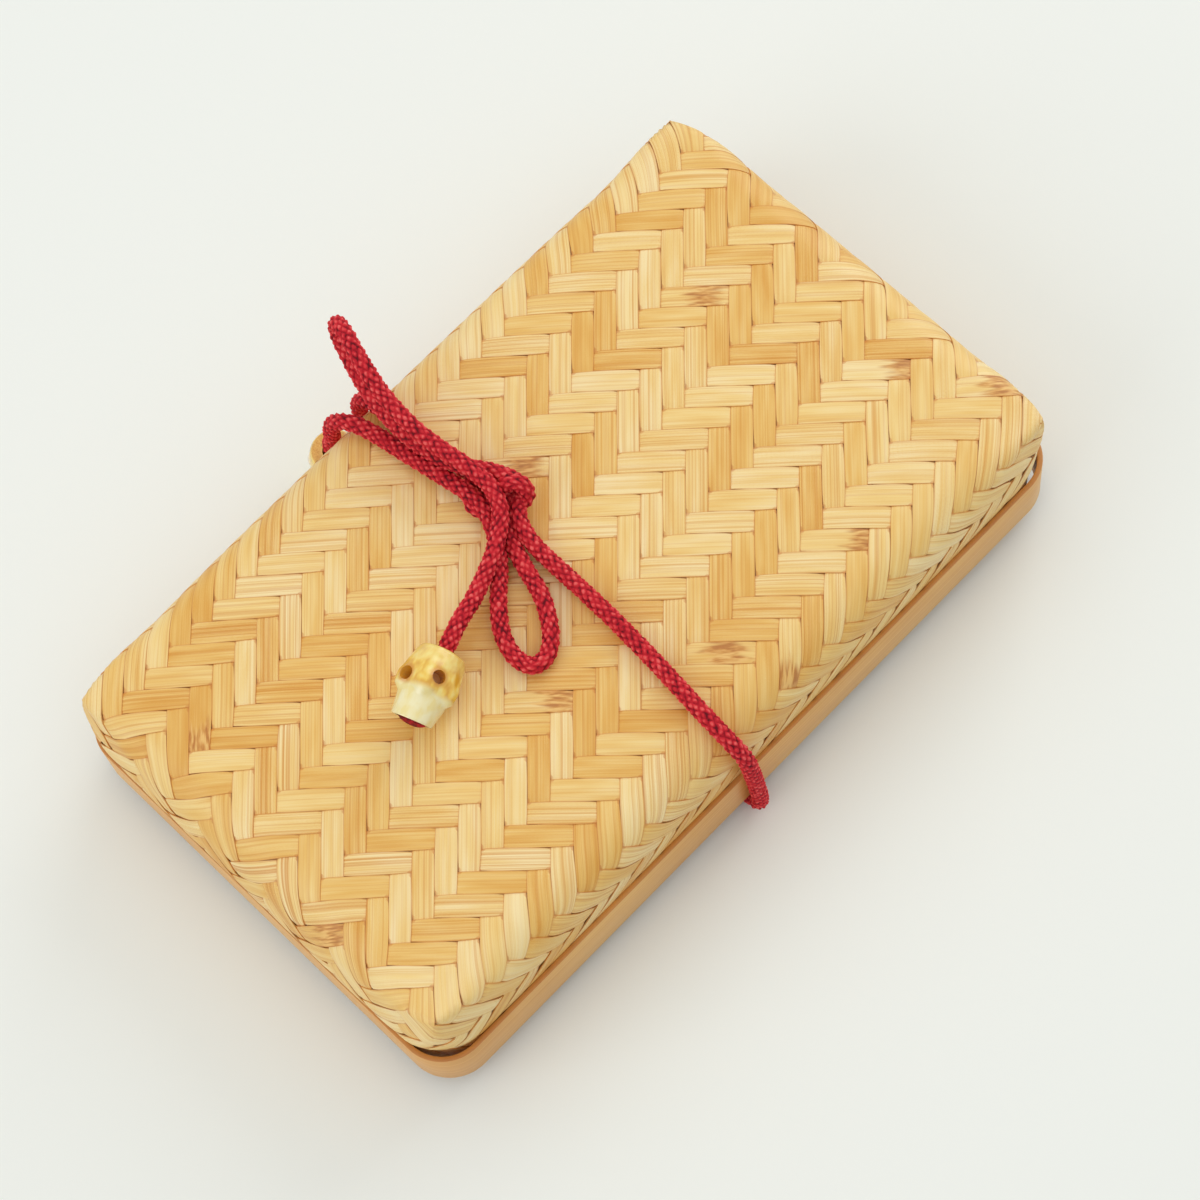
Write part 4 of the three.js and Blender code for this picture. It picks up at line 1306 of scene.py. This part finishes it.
def bead_bamboo(name, scarred):
    """Root bamboo: a cream barrel, a yellow skirt, brown rings at the side holes and scars."""
    finish = Finish(name, roughness=0.18)
    finish.set_skin("Coat Weight", 0.4)
    finish.set_skin("Coat Roughness", 0.15)
    place = finish.attribute("place")
    along, _, height = finish.split(place)
    patch = finish.noise(place, BEAD_PATCHES)
    uneven = finish.weigh(along, (patch, BEAD_UNEVENNESS))
    barrel, skirt = finish.tones(patch, BARREL_TONES), finish.tones(patch, SKIRT_TONES)
    colour = finish.mix(finish.between(uneven, *BARREL_EDGE), barrel, skirt)
    pale_end = finish.mix(PALE_SHARE, colour, PALE_END)
    colour = finish.mix(finish.between(uneven, *PALE_EDGE), colour, pale_end)
    above = finish.between(height, *UPPER_SIDE)
    for centre, direction, _ in side_holes():
        ring = finish.between(finish.gap_to_line(place, centre, direction), *RING_EDGE)
        colour = finish.mix(finish.math("MULTIPLY", ring, above), colour, HOLE_RING)
    disc = finish.tones(finish.noise(place, CORD_DISC_GRAIN), CORD_DISC_TONES)
    colour = finish.mix(finish.between(along, *DISC_EDGE), colour, disc)
    marks = finish.between(finish.noise(place, BEAD_SCARS, detail=3), *SCAR_EDGE, 0, scarred)
    marks = finish.math("MULTIPLY", marks, finish.between(along, *SCARRED_END))
    finish.colour(finish.mix(marks, colour, SCAR_BROWN))
    finish.bump(patch, strength=0.25, distance=0.4 * MM)
    return finish


# Painted shade: the faces inside the bore, the pocket and the side holes are coloured dark brown-grey.
def bead_inside_shade():
    finish = Finish("bamboo_root_inside", roughness=0.7)
    grain = finish.noise(finish.object_place(), BEAD_INSIDE_GRAIN)
    finish.colour(finish.tones(grain, BEAD_INSIDE_SHADE_TONES))
    return finish


def crimson_braid():
    """Crimson thread with painted shade between the strands, a painted pinkish highlight where they stand out, and
    faded in places.
    """
    finish = Finish("crimson_braid", roughness=0.75)
    finish.set_skin("Specular IOR Level", 0.25)
    height = finish.attribute("strand_height", "Fac")
    thread = finish.noise(finish.object_place(), CORD_THREADS)
    faded = finish.noise(finish.object_place(), CORD_FADING, detail=1)
    # The strand's height paints shade between the strands and a highlight on their crests.
    tone = finish.weigh(LEAST_RED, (height, STRAND_SHADE_AND_HIGHLIGHT), (thread, THREAD_RED), (faded, FADED_RED))
    finish.colour(finish.tones(tone, CRIMSON_SHADE_TO_HIGHLIGHT_TONES))
    finish.bump(thread, strength=0.5, distance=0.2 * MM)
    return finish


strip_bamboo().on(*strips)
hoop_bamboo("bent_bamboo_face", HOOP_FACE_TONES).on(*hoops)
hoop_bamboo("bent_bamboo_cut_edge", CUT_EDGE_TONES).on(*hoops)
for bead, name, scarred in (
    (front_bead, "front_root_bamboo", 0), (back_bead, "back_root_bamboo", BACK_BEAD_SCARRED)
):
    bead.data.materials.clear()
    bead_bamboo(name, scarred).on(bead)
bead_inside_shade().on(front_bead, back_bead)
crimson_braid().on(cord_tail, cord_round, cord_front, cord_knot, front_end, back_end)

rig.cord(
    cord_tail, exit=tail_path[-1], length=path_length(tail_path), diameter=CORD_DIAMETER,
    far_end="fitting", stiffness="limp", lay="loose", path=tail_path[::5],
    with_pieces=[front_bead, cord_knot, front_end],
)
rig.cord(
    cord_round, exit=round_path[0], length=path_length(round_path), diameter=CORD_DIAMETER,
    far_end="object", stiffness="limp", lay="taut", path=round_path[::5],
)
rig.cord(
    cord_front, exit=front_path[0], length=path_length(front_path), diameter=CORD_DIAMETER,
    far_end="fitting", stiffness="limp", lay="loose", path=front_path[::5],
    with_pieces=[back_bead, back_end],
)


# Floor and light
FLOOR_HALF_SIZE = 3
LAMP_SIZE = 1.4
LAMPS = {"window": ((1.56, 0.35, 0.90), 10.4), "far_side": ((-1.56, 0.35, 0.90), 8.1)}
HORIZON_LIGHT = 0.04
OVERHEAD_LIGHT = 1.06


def add_floor():
    bm = bmesh.new()
    bmesh.ops.create_grid(bm, x_segments=1, y_segments=1, size=FLOOR_HALF_SIZE)
    floor = link("floor", to_mesh("floor", bm))
    finish = Finish("pale_table", roughness=0.6)
    finish.set_skin("Specular IOR Level", 0.2)
    finish.colour(PALE_TABLE)
    finish.on(floor)
    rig.stage(floor)


def add_lamp(name, place, power):
    light = bpy.data.lights.new(name, "AREA")
    light.shape = "SQUARE"
    light.size = LAMP_SIZE
    light.energy = power
    lamp = link(name, light)
    lamp.location = place
    lamp.rotation_euler = (-Vector(place)).to_track_quat("-Z", "Y").to_euler()


def light_room():
    """A soft light, strongest overhead, that the camera and gloss see as no darker than white."""
    world = bpy.data.worlds.new("room")
    scene.world = world
    world.use_nodes = True
    room = Nodes(world.node_tree)
    rise = room.split(room.node("TexCoord").outputs["Generated"])["Z"]
    strength = room.fill(room.node("MapRange"), (rise, 0, 1, HORIZON_LIGHT, OVERHEAD_LIGHT))
    rays = room.node("LightPath").outputs
    for kind in ("Is Camera Ray", "Is Glossy Ray", "Is Transmission Ray"):
        strength = room.math("MAXIMUM", strength, rays[kind])
    room.fill_named(room.tree.nodes["Background"], Color=(1, 1, 1, 1), Strength=strength)


add_floor()
for name, (place, power) in LAMPS.items():
    add_lamp(name, place, power)
light_room()
scene.view_settings.view_transform = "Standard"

with open("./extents.json", "w") as sizes:
    boxes = [[list(corner) for corner in box] for box in (cad_box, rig.bounds())]
    sizes.write(str(boxes))
